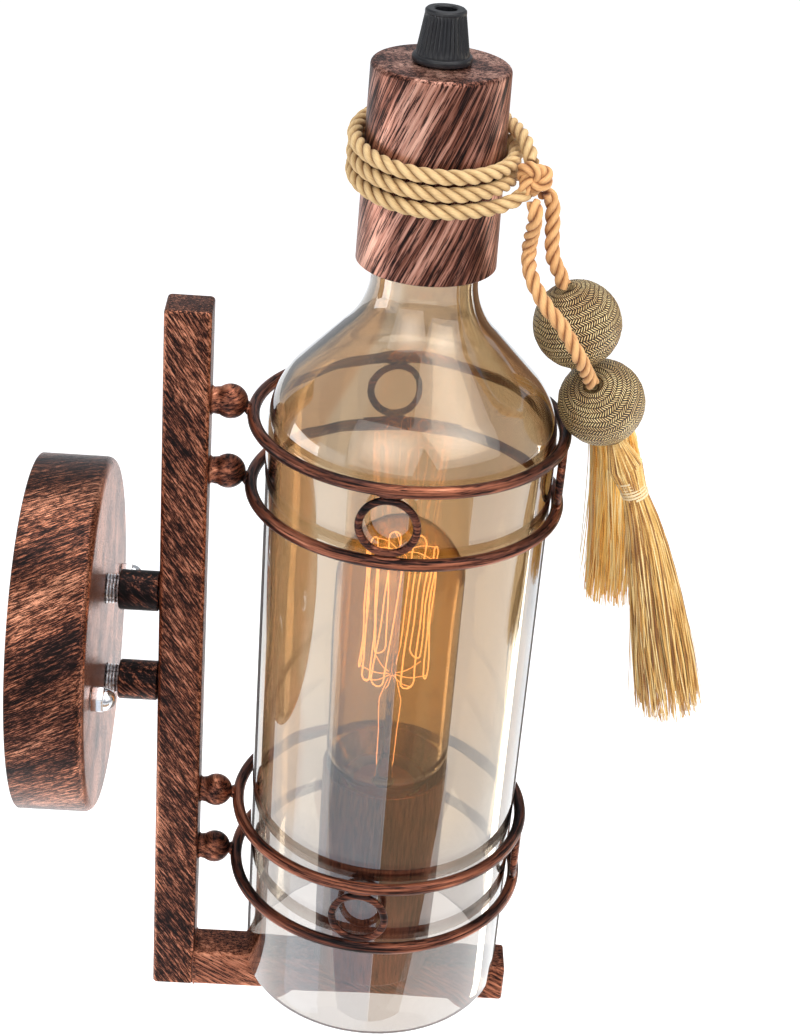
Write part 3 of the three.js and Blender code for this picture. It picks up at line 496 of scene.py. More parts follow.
def smoothLine(points, steps):
    # a Catmull-Rom line through the points, then spaced evenly
    points = [Vector(p) for p in points]
    ends = [2 * points[0] - points[1], *points, 2 * points[-1] - points[-2]]
    fine = []
    for a, b, c, d in zip(ends, ends[1:], ends[2:], ends[3:]):
        for i in range(24):
            t = i / 24
            fine.append(0.5 * (2 * b + (c - a) * t + (2 * a - 5 * b + 4 * c - d) * t ** 2
                               + (3 * b - a - 3 * c + d) * t ** 3))
    return evenly([*fine, points[-1]], steps)


def reaches(points):
    # how far along the line each of its points lies
    made = [0.0]
    for a, b in zip(points, points[1:]):
        made.append(made[-1] + (b - a).length)
    return made


def lengthOf(points):
    return reaches(points)[-1]


def evenly(points, steps):
    reach = reaches(points)
    out, at = [], 0
    for i in range(steps + 1):
        goal = reach[-1] * i / steps
        while at < len(points) - 2 and reach[at + 1] < goal:
            at += 1
        share = (goal - reach[at]) / max(reach[at + 1] - reach[at], 1e-9)
        out.append(points[at].lerp(points[at + 1], min(share, 1)))
    return out


def sidesAlong(line):
    # an untwisted pair of side directions at each point of a line
    sides = []
    side = None
    for i in range(len(line)):
        way = (line[min(i + 1, len(line) - 1)] - line[max(i - 1, 0)]).normalized()
        if side is None:
            side = way.cross(Vector((0, 0, 1)) if abs(way.z) < 0.9 else Vector((1, 0, 0)))
        side = (side - way * side.dot(way)).normalized()
        sides.append((side, way.cross(side)))
    return sides


def beside(point, sides, angle, out):
    return point + out * (math.cos(angle) * sides[0] + math.sin(angle) * sides[1])


def polar(radius, angle, z):
    return Vector((radius * math.cos(angle), radius * math.sin(angle), z))


def laidRope(line, radius, pitch):
    # centre lines of the plies that lie twisted round a rope's own line, and the radii of the plies
    plies = rope["plies"]
    ply = radius / (1 + 1 / math.sin(math.pi / plies)) * 1.08
    sides, reach = sidesAlong(line), reaches(line)
    lines = [[beside(point, pair, 2 * math.pi * far / pitch + 2 * math.pi * k / plies, radius - ply)
              for point, pair, far in zip(line, sides, reach)] for k in range(plies)]
    return lines, [ply] * plies


# The rope, its knot and the two hanging strands
rope = {
    "diameter": 4.8,
    "plies": 3,
    "pitch": 13.2,  # one full turn of a ply
    # each: the crevice shade, the middle and the light tones; the second set paints the same rope more
    # orange, as if in shadow, for the hanging strands and the knot
    "cream": ((0.09, 0.034, 0.011), (0.34, 0.185, 0.066), (0.72, 0.50, 0.24)),
    "paintedShade": ((0.10, 0.027, 0.008), (0.37, 0.150, 0.045), (0.78, 0.43, 0.175)),
    "turns": 3,
    "turnPitch": 5.3,
    "topHeight": 183,  # axis of the uppermost turn
    "tilt": 6,  # degrees, down to the left
    "windRadius": 24.23,
    "knotRadius": 4.5,
    "knotOut": 31.43,
    "knotTurn": -22,  # degrees round the bottle, from the front
    "knotHeight": 173.69,
    "knotEntry": 2.5,
    "knotSize": 1.5,
    "knotLean": 18,  # degrees
    "knotTight": (0.86, 0.85),  # shares of the rope's thickness and pitch
    "strandOff": 1,
    "strandBend": (1.7, -1.2, -22.5),
    # ways from the knot's middle to where each strand leaves it, and from a bead's middle to where one ends
    "shortWay": (0.35, -0.6, -0.72),
    "shortEnd": (-0.12, 0.4, 0.91),
    "longWay": (-0.45, -0.12, -0.88),
    "longEnd": (-0.6, 0.35, 0.72),
    # the long strand past the upper bead: a way from its middle, and a share of its radius off its skin
    "pastBead": (((-0.56, 0.9, 1), 0.75), ((-0.8, 0.66, 0.62), 0.375), ((-0.93, 0.4, 0.34), 0.105),
                 ((-0.98, 0.03, -0.2), 0.045)),
}
ropeLook = ropeLookOf("rope", *rope["cream"])
# painted shade: the strands and the knot take the rope's tones made more orange, as if in shadow
strandLook = ropeLookOf("strand", *rope["paintedShade"])

bead = {
    "radius": 13.9,
    "fit": 0.3,
    "rows": 27,  # of braid, from pole to pole
    "yarns": 84,  # in the widest row
    "hole": (3.1, 2.6),  # radius and depth of the dents at the poles
    "upper": (-6.57, -48.03, 126.5),
    "lower": (-6.0, -58.64, 100.27),
}


def around(turn, out, z):
    a = math.radians(turn)
    return Vector((out * math.sin(a), -out * math.cos(a), z))


knot = around(rope["knotTurn"], rope["knotOut"], rope["knotHeight"])


def onSkin(middle, radius, way, extra=0):
    return Vector(middle) + Vector(way).normalized() * (radius + bead["fit"] + extra)


def hangingStrands():
    thick, radius = rope["diameter"], bead["radius"]
    knotReach = rope["knotRadius"] * 1.2 + rope["strandOff"]
    clear = radius + thick / 2 + 0.5 - bead["fit"]
    short = [onSkin(knot, knotReach, rope["shortWay"], extra) for extra in (0, thick)]
    short += [onSkin(bead["upper"], radius, rope["shortEnd"], extra) for extra in (2.5 * thick, thick, 0)]
    long = [onSkin(knot, knotReach, rope["longWay"], extra) for extra in (0, thick)]
    long.append(knot + Vector(rope["strandBend"]))
    long += [onSkin(bead["upper"], clear, way, share * radius) for way, share in rope["pastBead"]]
    long += [onSkin(bead["lower"], radius, rope["longEnd"], extra) for extra in (thick, 0)]
    for node, points, steps in (("strand_short", short, 60), ("strand_long", long, 110)):
        line = smoothLine(points, steps)
        lines, radii = laidRope(line, thick / 2, rope["pitch"])
        made = threads(node + "_rope", lines, radii, strandLook, "pendants", node, 3, onAxis, line)


hangingStrands()
print("strands made")


def windingLine():
    wind, out = rope["windRadius"], rope["knotOut"]
    knotAngle = math.degrees(math.acos(wind / out))
    sweep = rope["turns"] * 360 - 2 * knotAngle
    drop = rope["turnPitch"] * sweep / 360
    slope = math.tan(math.radians(rope["tilt"]))
    steps = 72 * rope["turns"]
    onTurns = []
    for i in range(steps + 1):
        place = around(rope["knotTurn"] + knotAngle + sweep * i / steps, wind, 0)
        place.z = rope["topHeight"] - drop * i / steps + slope * place.x
        onTurns.append(place)

    def end(start, side):
        target = knot + Vector((0, 0, side * rope["knotEntry"]))
        made = []
        for share in (0.15, 0.3, 0.45, 0.6, 0.75, 0.9):
            place = start.lerp(target, share)
            place.z = start.z + (target.z - start.z) * share ** 3
            made.append(place)
        return made

    return evenly([*reversed(end(onTurns[0], 1)), *onTurns, *end(onTurns[-1], -1)], 560)


def makeWinding():
    line = windingLine()
    lines, radii = laidRope(line, rope["diameter"] / 2, rope["pitch"])
    threads("rope_turns", lines, radii, ropeLook, "cap", "rope_winding", 3, onAxis, line)


def makeKnot():
    # an overhand knot of the same rope, pulled small
    size, (thin, tight) = rope["knotSize"], rope["knotTight"]
    line = []
    for i in range(161):
        t = 2 * math.pi * i / 160
        line.append(Vector((size * 0.9 * math.sin(3 * t), 0.9 * size * (math.sin(t) + 2 * math.sin(2 * t)),
                            1.05 * size * (math.cos(t) - 2 * math.cos(2 * t)))))
    lines, radii = laidRope(line, rope["diameter"] / 2 * thin, rope["pitch"] * tight)
    turn = Matrix.Rotation(math.radians(rope["knotLean"]), 3, "X")
    lines = [[turn @ p for p in ply] for ply in lines]
    threads("knot_rope", lines, radii, strandLook, "cap", "knot", 3, knot + onAxis,
            [turn @ p for p in line])


makeWinding()
makeKnot()
print("rope wound and knotted")


# Metal, plastic and glass finishes
capLook = brushedCopper("cap_copper", wrappedStrokes(-24, 21), 0.8,
                        [(0.36, "dark"), (0.45, "brown"), (0.51, "rose"), (0.63, "pale")], 0.485, 0.5)
frameStops = [(0.40, "dark"), (0.46, "brown"), (0.53, "copper"), (0.64, "bright")]
ringLook = brushedCopper("ring_copper", roundStrokes(axisY), 0.7,
                         [(0.36, "black"), (0.44, "dark"), (0.51, "brown"), (0.60, "copper"),
                          (0.70, "bright")], 0.47)
# the canopy's front face gets a painted sheen: lighter, as if it mirrored the bright studio
canopyLook = brushedCopper("canopy_copper", rimStrokes(28, 60), 0.40, frameStops, 0.530, 0.45, (0.24, 0.40),
                           short=2.6, wearAndSheen=paintedFrontSheen(24.6, 22.8))
sleeveLook = brushedCopper("sleeve_copper", straightStrokes((48, 0, 0)), 0.6,
                           [(0.40, "black"), (0.50, "dark"), (0.58, "copper"), (0.70, "bright")], 0.53)
cupLook = brushedCopper("cup_copper", straightStrokes((0, 0, 0)), 0.6,
                        [(0.36, "dark"), (0.48, "brown"), (0.66, "copper")], 0.425, relief=0.2, short=2.5)
steelLook = plainMetal("steel", (0.72, 0.72, 0.74), 0.26)
chromeLook = plainMetal("chrome", (0.86, 0.87, 0.89), 0.1, 1400)
brassLook = plainMetal("brass", (0.70, 0.50, 0.22), 0.3)
plasticLook = plainMatt("black_plastic", (0.007, 0.007, 0.009), 0.36)
holderLook = plainMatt("brown_plastic", (0.40, 0.125, 0.068), 0.32)
discLook = plainMatt("brown_mica", (0.52, 0.165, 0.085), 0.4)
ceramicLook = plainMatt("ceramic", (0.80, 0.77, 0.70), 0.35, 500, 0.08, 0.9)
brownWireLook = plainMatt("wire_brown", (0.16, 0.07, 0.04), 0.5)
blueWireLook = plainMatt("wire_blue", (0.06, 0.16, 0.42), 0.5)
# painted glow: the filament and its support wires emit light, standing in for their bright highlights
# against the amber glass
glowingWireLook = plainMetal("filament", (0.95, 0.50, 0.24), 0.25, 2500,
                          Emission_Color=(1.0, 0.58, 0.36, 1), Emission_Strength=2.8)
# painted reflections and highlights: shares of the way round, from +X and by way of -Y, with their tones;
# the near-white bands are painted highlights, the deeper amber ones painted reflections
paintedReflectionBands = {
    "stops": [(0.00, (0.91, 0.83, 0.72)), (0.10, (0.86, 0.76, 0.63)), (0.20, (0.97, 0.92, 0.85)),
              (0.28, (0.90, 0.71, 0.54)), (0.325, (0.92, 0.74, 0.57)), (0.334, (1.0, 0.98, 0.90)),
              (0.362, (1.0, 0.95, 0.85)), (0.375, (0.92, 0.84, 0.73)), (0.42, (0.92, 0.83, 0.71)),
              (0.560, (0.92, 0.81, 0.68)), (0.574, (1, 0.99, 0.98)), (0.608, (1, 0.99, 0.98)),
              (0.616, (0.93, 0.76, 0.60)), (0.70, (0.95, 0.79, 0.63)), (0.76, (0.98, 0.94, 0.88)),
              (1.00, (0.91, 0.83, 0.72))],
    "sway": 0.05,
    "fade": (-0.045, -0.015),
    "foot": (0.51, 0.46, 0.42),
}
bottleLook = tintedGlass("lustre_glass", (0.785, 0.685, 0.555), (0.745, 0.63, 0.48), 16, 1.8,
                         (0.98, 0.99, 1.0), ((0.57, 0.43, 0.20), 45), paintedReflectionBands)
bulbLook = tintedGlass("bulb_glass", (1.0, 0.96, 0.88), (0.99, 0.93, 0.80), 24, 1.4, (1.0, 0.97, 0.92),
                       ((0.985, 0.73, 0.03), 430))
stemLook = tintedGlass("stem_glass", (0.99, 0.97, 0.93), (0.96, 0.92, 0.84), 40, 1.3, (1, 1, 1),
                       ((0.95, 0.90, 0.80), 20))


def dress(look, *names):
    for name in names:
        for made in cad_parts[name].material_slots:
            made.material = look


dress(steelLook, "wall_bracket", "stud_left", "stud_right", "nipple_nut_upper", "nipple_nut_lower",
      "cup_nipple", "arm_nut", "cord_grip_nut")
dress(ceramicLook, "terminal_block", "lampholder_insert")
dress(brassLook, "screw_shell", "centre_contact")
dress(brownWireLook, "wire_live")
dress(blueWireLook, "wire_neutral")
print("looks made")


# Canopy, nipples, sleeves and acorn nuts
canopy = {"radius": 60, "depth": 24.8, "wall": 1.2, "edge": 3, "studs": 80, "nipples": 35.6,
          "nippleHole": 5.3, "studHole": 2.8, "drill": 80}
outward = Matrix.Rotation(math.pi / 2, 3, "X")  # turns +Z to -Y, out from the wall


def drilled(made, places, radius, depth):
    # round holes along Y, cut by a Boolean modifier
    bm = bmesh.new()
    for x, z in places:
        own = bmesh.ops.create_cone(bm, cap_ends=True, segments=40, radius1=radius, radius2=radius,
                                    depth=depth)
        moved(bm, own["verts"], outward, (x, 0, z))
    bmesh.ops.scale(bm, vec=(mm, mm, mm), verts=bm.verts)
    tool = objectOf("drill", bm)
    hole = made.modifiers.new("hole", "BOOLEAN")
    hole.object, hole.operation, hole.solver = tool, "DIFFERENCE", "EXACT"
    bpy.context.view_layer.update()
    done = evaluatedMesh(made)
    made.modifiers.clear()
    old, drill, name = made.data, tool.data, made.data.name
    made.data = done
    bpy.data.meshes.remove(old)
    done.name = name
    bpy.data.objects.remove(tool)
    bpy.data.meshes.remove(drill)


def makeCanopy():
    r, d, w, e = canopy["radius"], canopy["depth"], canopy["wall"], canopy["edge"]
    profile = [(r - w, 0), (r - 0.3, 0), (r, 0.3), *arc(r - e, d - e, e, 0, 90, 8), (0, d), (0, d - w),
               *arc(r - w - e, d - w - e, e, 90, 0, 6)]
    bm = turned(profile, 160, hollow=True)
    moved(bm, bm.verts, outward)
    made = finished("canopy_shell", bm, canopyLook, "frame", "canopy")
    drilled(made, [(0, s * canopy["nipples"] / 2) for s in (-1, 1)], canopy["nippleHole"], canopy["drill"])
    drilled(made, [(s * canopy["studs"] / 2, 0) for s in (-1, 1)], canopy["studHole"], canopy["drill"])


nipple = {"radius": 5, "bore": 3.6, "start": 18.7, "end": 42.4, "pitch": 1.0, "depth": 0.4}
sleeve = {"radius": 6.8, "bore": 5.3, "start": 29.3, "end": 42.7, "chamfer": 0.5}


def makeNipples():
    start, end, pitch = nipple["start"], nipple["end"], nipple["pitch"]
    crests = int((end - start) / pitch)
    outer = []
    for i in range(crests):
        outer += [(nipple["radius"] - nipple["depth"], start + i * pitch),
                  (nipple["radius"], start + (i + 0.5) * pitch)]
    outer += [(nipple["radius"] - nipple["depth"], start + crests * pitch)]
    c = sleeve["chamfer"]
    pipeOuter = [(sleeve["bore"], sleeve["start"]), (sleeve["radius"] - c, sleeve["start"]),
                 (sleeve["radius"], sleeve["start"] + c), (sleeve["radius"], sleeve["end"] - c),
                 (sleeve["radius"] - c, sleeve["end"]), (sleeve["bore"], sleeve["end"])]
    for side, s in (("upper", 1), ("lower", -1)):
        z = s * canopy["nipples"] / 2
        bm = turned([(nipple["bore"], start), *outer, (nipple["bore"], outer[-1][1])], 48, hollow=True)
        moved(bm, bm.verts, outward, (0, 0, z))
        finished(f"nipple_thread_{side}", bm, steelLook, "frame", f"nipple_{side}", crease=50)
        bm = turned(pipeOuter, 64, hollow=True)
        moved(bm, bm.verts, outward, (0, 0, z))
        finished(f"sleeve_pipe_{side}", bm, sleeveLook, "frame", f"sleeve_{side}")


acorn = {"across": 8, "hex": 4, "dome": 3.7, "foot": 25.1, "edge": 0.35}


def makeAcornNuts():
    corner, foot, high = acorn["across"] / math.sqrt(3), acorn["foot"], acorn["hex"]
    dome = [(0, foot + 1), (acorn["dome"], foot + 1), (acorn["dome"] + 0.15, foot + high - 0.2),
            *arc(0, foot + high, acorn["dome"], 0, 90, 12)]
    for side, s in (("left", -1), ("right", 1)):
        bm = bmesh.new()
        bmesh.ops.create_cone(bm, cap_ends=True, segments=6, radius1=corner, radius2=corner, depth=high)
        bmesh.ops.translate(bm, vec=(0, 0, foot + high / 2), verts=bm.verts)
        bevelled(bm, list(bm.edges), acorn["edge"], 3)
        turned(dome, 48, bm=bm)
        moved(bm, bm.verts, outward, (s * canopy["studs"] / 2, 0, 0))
        finished(f"acorn_nut_{side}_chrome", bm, chromeLook, "frame", f"acorn_nut_{side}")


makeCanopy()
makeNipples()
makeAcornNuts()
print("wall fittings made")


# Square tubes
tube = {"side": 15, "wall": 1.2, "corner": 1.6, "top": 122.5, "foot": -146, "front": 58, "plate": 2.3,
        "armEnd": 172.49, "rim": 1.1, "weld": 0.9}
half = tube["side"] / 2
armZ = tube["foot"] + half
frameLook = brushedCopper("frame_copper", straightStrokes((34, 0, 0)), 0.42, frameStops, 0.524, 0.3,
                          short=2.3, wearAndSheen=edgeWear(("X", 0), ("Y", uprightY), half))
armLook = brushedCopper("arm_copper", straightStrokes((60, 0, 0)), 0.5,
                        [(0.36, "dark"), (0.44, "brown"), (0.54, "copper"), (0.68, "bright")], 0.49,
                        short=2.0, wearAndSheen=edgeWear(("X", 0), ("Z", armZ), half))


def openBar(side, corner, length):
    bm = roundedBar(side, corner, length)
    bmesh.ops.delete(bm, geom=[f for f in bm.faces if abs(f.normal.z) > 0.9], context="FACES")
    return bm


def hollowTube(length):
    bm = openBar(tube["side"], tube["corner"], length)
    inner = openBar(tube["side"] - 2 * tube["wall"], tube["corner"] - tube["wall"] / 2, length)
    bmesh.ops.reverse_faces(inner, faces=inner.faces)
    joinedInto(bm, inner)
    for z in (0, length):
        rim = [e for e in bm.edges if e.is_boundary and all(abs(v.co.z - z) < 0.01 for v in e.verts)]
        bmesh.ops.bridge_loops(bm, edges=rim)
    return bm


def endPlate():
    bm = roundedBar(tube["side"], tube["corner"], tube["plate"])
    bevelled(bm, [e for e in bm.edges if min(v.co.z for v in e.verts) > tube["plate"] - 0.01], tube["rim"])
    return bm


def makeTubes():
    foot, top, plate, weld = tube["foot"], tube["top"], tube["plate"], tube["weld"]
    finished("upright", hollowTube(top - foot - 2 * plate), frameLook, "frame", "upright_tube",
             shift=(0, uprightY, foot + plate))
    finished("upright_cap", endPlate(), frameLook, "frame", "upright_top_plate",
             shift=(0, uprightY, top - plate))
    bm = endPlate()
    moved(bm, bm.verts, Matrix.Rotation(math.pi, 3, "X"))
    finished("upright_foot", bm, frameLook, "frame", "upright_foot_plate",
             shift=(0, uprightY, foot + plate))
    bm = hollowTube(tube["armEnd"] - plate - tube["front"])
    moved(bm, bm.verts, outward, (0, -tube["front"], armZ))
    finished("arm", bm, armLook, "frame", "arm_tube")
    bm = endPlate()
    moved(bm, bm.verts, outward, (0, -tube["armEnd"] + plate, armZ))
    finished("arm_cap", bm, armLook, "frame", "arm_end_plate")
    seam = bmesh.new()
    reach = half - 0.3
    for x, z in ((-reach, 0), (reach, 0), (0, reach), (0, -reach)):
        size = (weld, weld, reach) if x else (reach, weld, weld)
        lump(seam, (x, -tube["front"], armZ + z), size, 0.12)
    finished("arm_weld", seam, armLook, "frame", crease=0)


makeTubes()
print("tubes made")


# Rings, circles and balls
cage = {"radius": 50, "inward": 1, "wire": 2.0, "heights": (87, 62, -63, -88),
        "rises": (2.8, 2.8, 0.8, 0.8), "ball": 5.6, "stub": 4.2, "ballReach": 7.9,
        "ballWeld": (2.6, 1.3, 2.1), "circle": 8.95, "circleWire": 1.25, "turns": (-97, -8, 95),
        "circleWeld": (4.6, 1.35, 0.95), "weldIn": 1.75}


def makeCages():
    heights, middleY = cage["heights"], axisY + cage["inward"]
    for i, z in enumerate(heights):
        bm = ringSolid(cage["radius"], cage["wire"], 160, 16)
        finished(f"ring_wire_{i + 1}", bm, ringLook, "frame", f"ring_{i + 1}", crease=0,
                 shift=(0, middleY, z))
        rise = cage["rises"][i]
        out = -middleY - cage["radius"] - math.sqrt(cage["ballReach"] ** 2 - rise ** 2)
        neck = math.degrees(math.acos(cage["stub"] / cage["ball"]))
        seat = out - tube["front"]
        profile = [(0, seat), (cage["stub"] + 0.7, seat), (cage["stub"] + 0.1, seat - 0.9),
                   *arc(0, 0, cage["ball"], neck - 6, -90, 22)]
        bm = turned(profile, 56)
        moved(bm, bm.verts, Matrix.Rotation(-math.pi / 2, 3, "X"), (0, -out, z + rise))
        contact = Vector((0, middleY + cage["radius"], z)).lerp(Vector((0, -out, z + rise)), 0.24)
        lump(bm, contact, cage["ballWeld"], 0.2)
        finished(f"ball_weld_{i + 1}", bm, ringLook, "frame", f"ball_{i + 1}", crease=0)
    for k, level in ((0, "upper"), (2, "lower")):
        middle = (heights[k] + heights[k + 1]) / 2
        reach = (heights[k] - heights[k + 1]) / 2
        for i, turn in enumerate(cage["turns"]):
            bm = ringSolid(cage["circle"], cage["circleWire"], 64, 14)
            moved(bm, bm.verts, outward)
            for s in (-1, 1):
                lump(bm, (0, 0, s * (reach - cage["weldIn"])), cage["circleWeld"], 0.14)
            moved(bm, bm.verts, None, (0, -cage["radius"], 0))
            moved(bm, bm.verts, Matrix.Rotation(math.radians(turn), 3, "Z"), (0, middleY, middle))
            finished(f"circle_weld_{level}_{i + 1}", bm, ringLook, "frame", f"circle_{level}_{i + 1}",
                     crease=0)


makeCages()
print("cages made")


# Lamp cup, lampholder and bulb
cup = {"foot": -130.7, "rim": -45.5, "footRadius": 20.8, "rimRadius": 22.2, "wall": 1.2, "round": 1.6,
       "hole": 5.3}
holder = {"radius": 15.6, "foot": -129.2, "mouth": -52, "wall": 1.6, "hole": 5.3, "seat": -99.3,
          "ridges": 4, "ridgePitch": 4, "ridgeDepth": 0.6, "ridgesBelow": 20}


def cupShell(footRadius, rimRadius, height):
    r, w = cup["round"], cup["wall"]
    return turned([(cup["hole"], 0), *arc(footRadius - r, r, r, -90, 0, 6), (rimRadius, height - 0.3),
                   (rimRadius - 0.3, height), (rimRadius - w + 0.2, height), (rimRadius - w, height - 0.2),
                   (footRadius - w, w + r), (footRadius - w - r, w), (cup["hole"], w)], 128, hollow=True)


def makeLampCup():
    bm = cupShell(cup["footRadius"], cup["rimRadius"], cup["rim"] - cup["foot"])
    finished("lamp_cup_shell", bm, cupLook, "frame", "lamp_cup", shift=(0, axisY, cup["foot"]))
    r, foot, mouth, hole, seat = (holder[key] for key in ("radius", "foot", "mouth", "hole", "seat"))
    bore, groove = r - holder["wall"], r - holder["ridgeDepth"]
    ridges = []
    for i in range(holder["ridges"]):
        z = mouth - holder["ridgesBelow"] + holder["ridgePitch"] * i
        ridges += [(r, z), (groove, z + 0.8), (groove, z + 2), (r, z + 2.8)]
    bm = turned([(hole, foot), (r - 1, foot), (r, foot + 1), *ridges, (r, mouth - 1), (r - 0.5, mouth),
                 (bore, mouth), (bore, seat), (bore - 1.5, seat), (bore - 1.5, foot + 3), (hole, foot + 3)],
                80, hollow=True)
    finished("lampholder_sleeve", bm, holderLook, "frame", "lampholder_body", shift=onAxis)


bulb = {"tip": -85.6, "skirt": -82.4, "rim": -58.4, "screw": 13, "neck": 11.5, "waist": -37, "radius": 21.5,
        "top": 51, "wall": 0.8, "sink": -64.4, "legs": 16, "cage": 12, "legTop": 38, "legFoot": -5,
        "wire": 0.27, "hook": 0.16, "disc": -54.3, "discWide": (4.1, 11.1), "discThick": 0.5}


def makeBulb():
    screw, skirt, rim = bulb["screw"], bulb["skirt"], bulb["rim"]
    steps = 40
    thread = []
    for i in range(steps + 1):
        z = skirt + 2 + (rim - skirt - 5) * i / steps
        thread.append((screw - 0.42 + 0.40 * math.cos(2 * math.pi * 4 * i / steps), z))
    inner = screw - 1.2
    bm = turned([(0, bulb["tip"]), (3.6, bulb["tip"]), (4.5, bulb["tip"] + 0.8), (11, skirt), *thread,
                 (screw - 0.2, rim - 2), (screw, rim - 0.4), (screw - 0.2, rim), (inner, rim),
                 (inner, skirt + 0.6), (0, skirt + 0.6)], 72)
    finished("bulb_cap_brass", bm, brassLook, "bulb", "bulb_screw_cap", shift=onAxis)
    disc, (hole, wide), high = bulb["disc"], bulb["discWide"], bulb["disc"] + bulb["discThick"]
    bm = turned([(hole, disc), (wide - 0.2, disc), (wide, disc + 0.2), (wide - 0.2, high), (hole, high)],
                64, hollow=True)
    finished("bulb_neck_disc", bm, discLook, "bulb", shift=onAxis)

    def outline(offset):
        r, wide = bulb["radius"] - offset, bulb["radius"] - bulb["neck"]
        low = [(bulb["neck"] - offset + wide * (0.5 - 0.5 * math.cos(math.pi * i / 14)),
                rim + 0.3 + (bulb["waist"] - rim - 0.3) * i / 14) for i in range(15)]
        straight = [(r, bulb["waist"] + (bulb["top"] - bulb["radius"] - bulb["waist"]) * i / 6)
                    for i in range(1, 6)]
        return [(bulb["neck"] - offset, bulb["sink"]), *low, *straight,
                *arc(0, bulb["top"] - bulb["radius"], r, 0, 90, 20)]

    bm = turned([*outline(0), *reversed(outline(bulb["wall"]))], 96, hollow=True)
    finished("bulb_envelope", bm, bulbLook, "bulb", "bulb_glass", shift=onAxis)


def makeFilament():
    legs, r, top, foot = bulb["legs"], bulb["cage"], bulb["legTop"], bulb["legFoot"]
    step = 2 * math.pi / legs
    turn = r * math.sin(step / 2)
    line = []
    sway = [chance.uniform(-0.30, 0.30) for _ in range(legs // 2 + 1)]  # of each bend at the foot
    for i in range(legs):
        up = i % 2 == 0
        ends = (foot, top) if up else (top, foot)
        for j in range(9):
            z = ends[0] + (ends[1] - ends[0]) * j / 8
            bow = 0.6 * math.sin(math.pi * j / 8) + 0.25 * math.sin(5 * j + i)
            lean = sway[(i + 1) // 2] * (top - z) / (top - foot)
            line.append(polar(r - bow, i * step + lean, z))
        if i == legs - 1:
            break
        for k in range(1, 6):
            a = math.pi * k / 6
            angle = i * step + step / 2 * (1 - math.cos(a)) + (0 if up else sway[(i + 1) // 2])
            line.append(polar(r, angle, top + turn * math.sin(a) if up else foot - turn * math.sin(a)))
    threads("filament_wire", [line], [bulb["wire"]], glowingWireLook, "bulb", "filament", 1,
            onAxis)

    stemTop = top + turn
    sink = bulb["sink"]
    bm = turned([(0, sink), (9.3, sink), (9.5, sink + 0.5), (9.2, sink + 1.1), (6, -59), (3.6, -54.5),
                 (3.1, -50), (2.9, -46), (2.0, -43), (1.3, -41), (1.2, 0), (1.2, stemTop - 1.5),
                 *arc(0, stemTop - 0.5, 1.5, -30, 90, 6)], 32)
    finished("stem_glass_rod", bm, stemLook, "bulb", "bulb_stem", shift=onAxis)
    wires = []
    for i in range(legs - 1):
        a = i * step + step / 2
        high = i % 2 == 0
        z = stemTop if high else foot - turn
        root = stemTop - 1 if high else z - 1.5
        start, tip = polar(0.8, a, root), polar(r - 0.2, a, z)
        bend = start.lerp(tip, 0.5) + Vector((0, 0, 1.2 if high else -1.2))
        wires.append(smoothLine([start, bend, tip], 8))
    for s, end in ((-1, line[0]), (1, line[-1])):  # the two leads from the stem to the filament's ends
        bend = end.lerp(Vector((0, 0, foot)), 0.4) - Vector((0, 0, 4))
        lead = [(0, 2.4 * s, -52), (0, 3.0 * s, -45), (0, 3.4 * s, -30), (0, 3.8 * s, -18), bend, end]
        wires.append(smoothLine(lead, 8))
    threads("support_wires", wires, [bulb["hook"]] * len(wires), glowingWireLook, "bulb", None,
            1, onAxis)


makeLampCup()
makeBulb()
makeFilament()
print("bulb made")


# Bottle
bottle = {"body": 46.7, "foot": 46, "wall": 2.4, "shoulderHeight": 83, "shoulder": 30, "throat": 26,
          "neckFoot": 137, "neck": 16.8, "neckTop": 14.4, "lip": 15.6, "lipFoot": 188, "lipEdge": 1.4,
          "mouth": 202, "bore": 9.6, "floor": -130.7}


def shoulderLine(offset):
    r1, r2 = bottle["shoulder"] - offset, bottle["throat"] + offset
    x1, x2 = bottle["body"] - bottle["shoulder"], bottle["neck"] + bottle["throat"]
    dx, dz = x2 - x1, bottle["neckFoot"] - bottle["shoulderHeight"]
    turn = math.degrees(math.atan2(dz, dx) - math.acos(min((r1 + r2) / math.hypot(dx, dz), 1)))
    return [*arc(x1, bottle["shoulderHeight"], r1, 0, turn, 18),
            *arc(x2, bottle["neckFoot"], r2, 180 + turn, 180, 18)]


def upTo(start, end, steps):
    return [(start[0] + (end[0] - start[0]) * i / steps, start[1] + (end[1] - start[1]) * i / steps)
            for i in range(1, steps)]


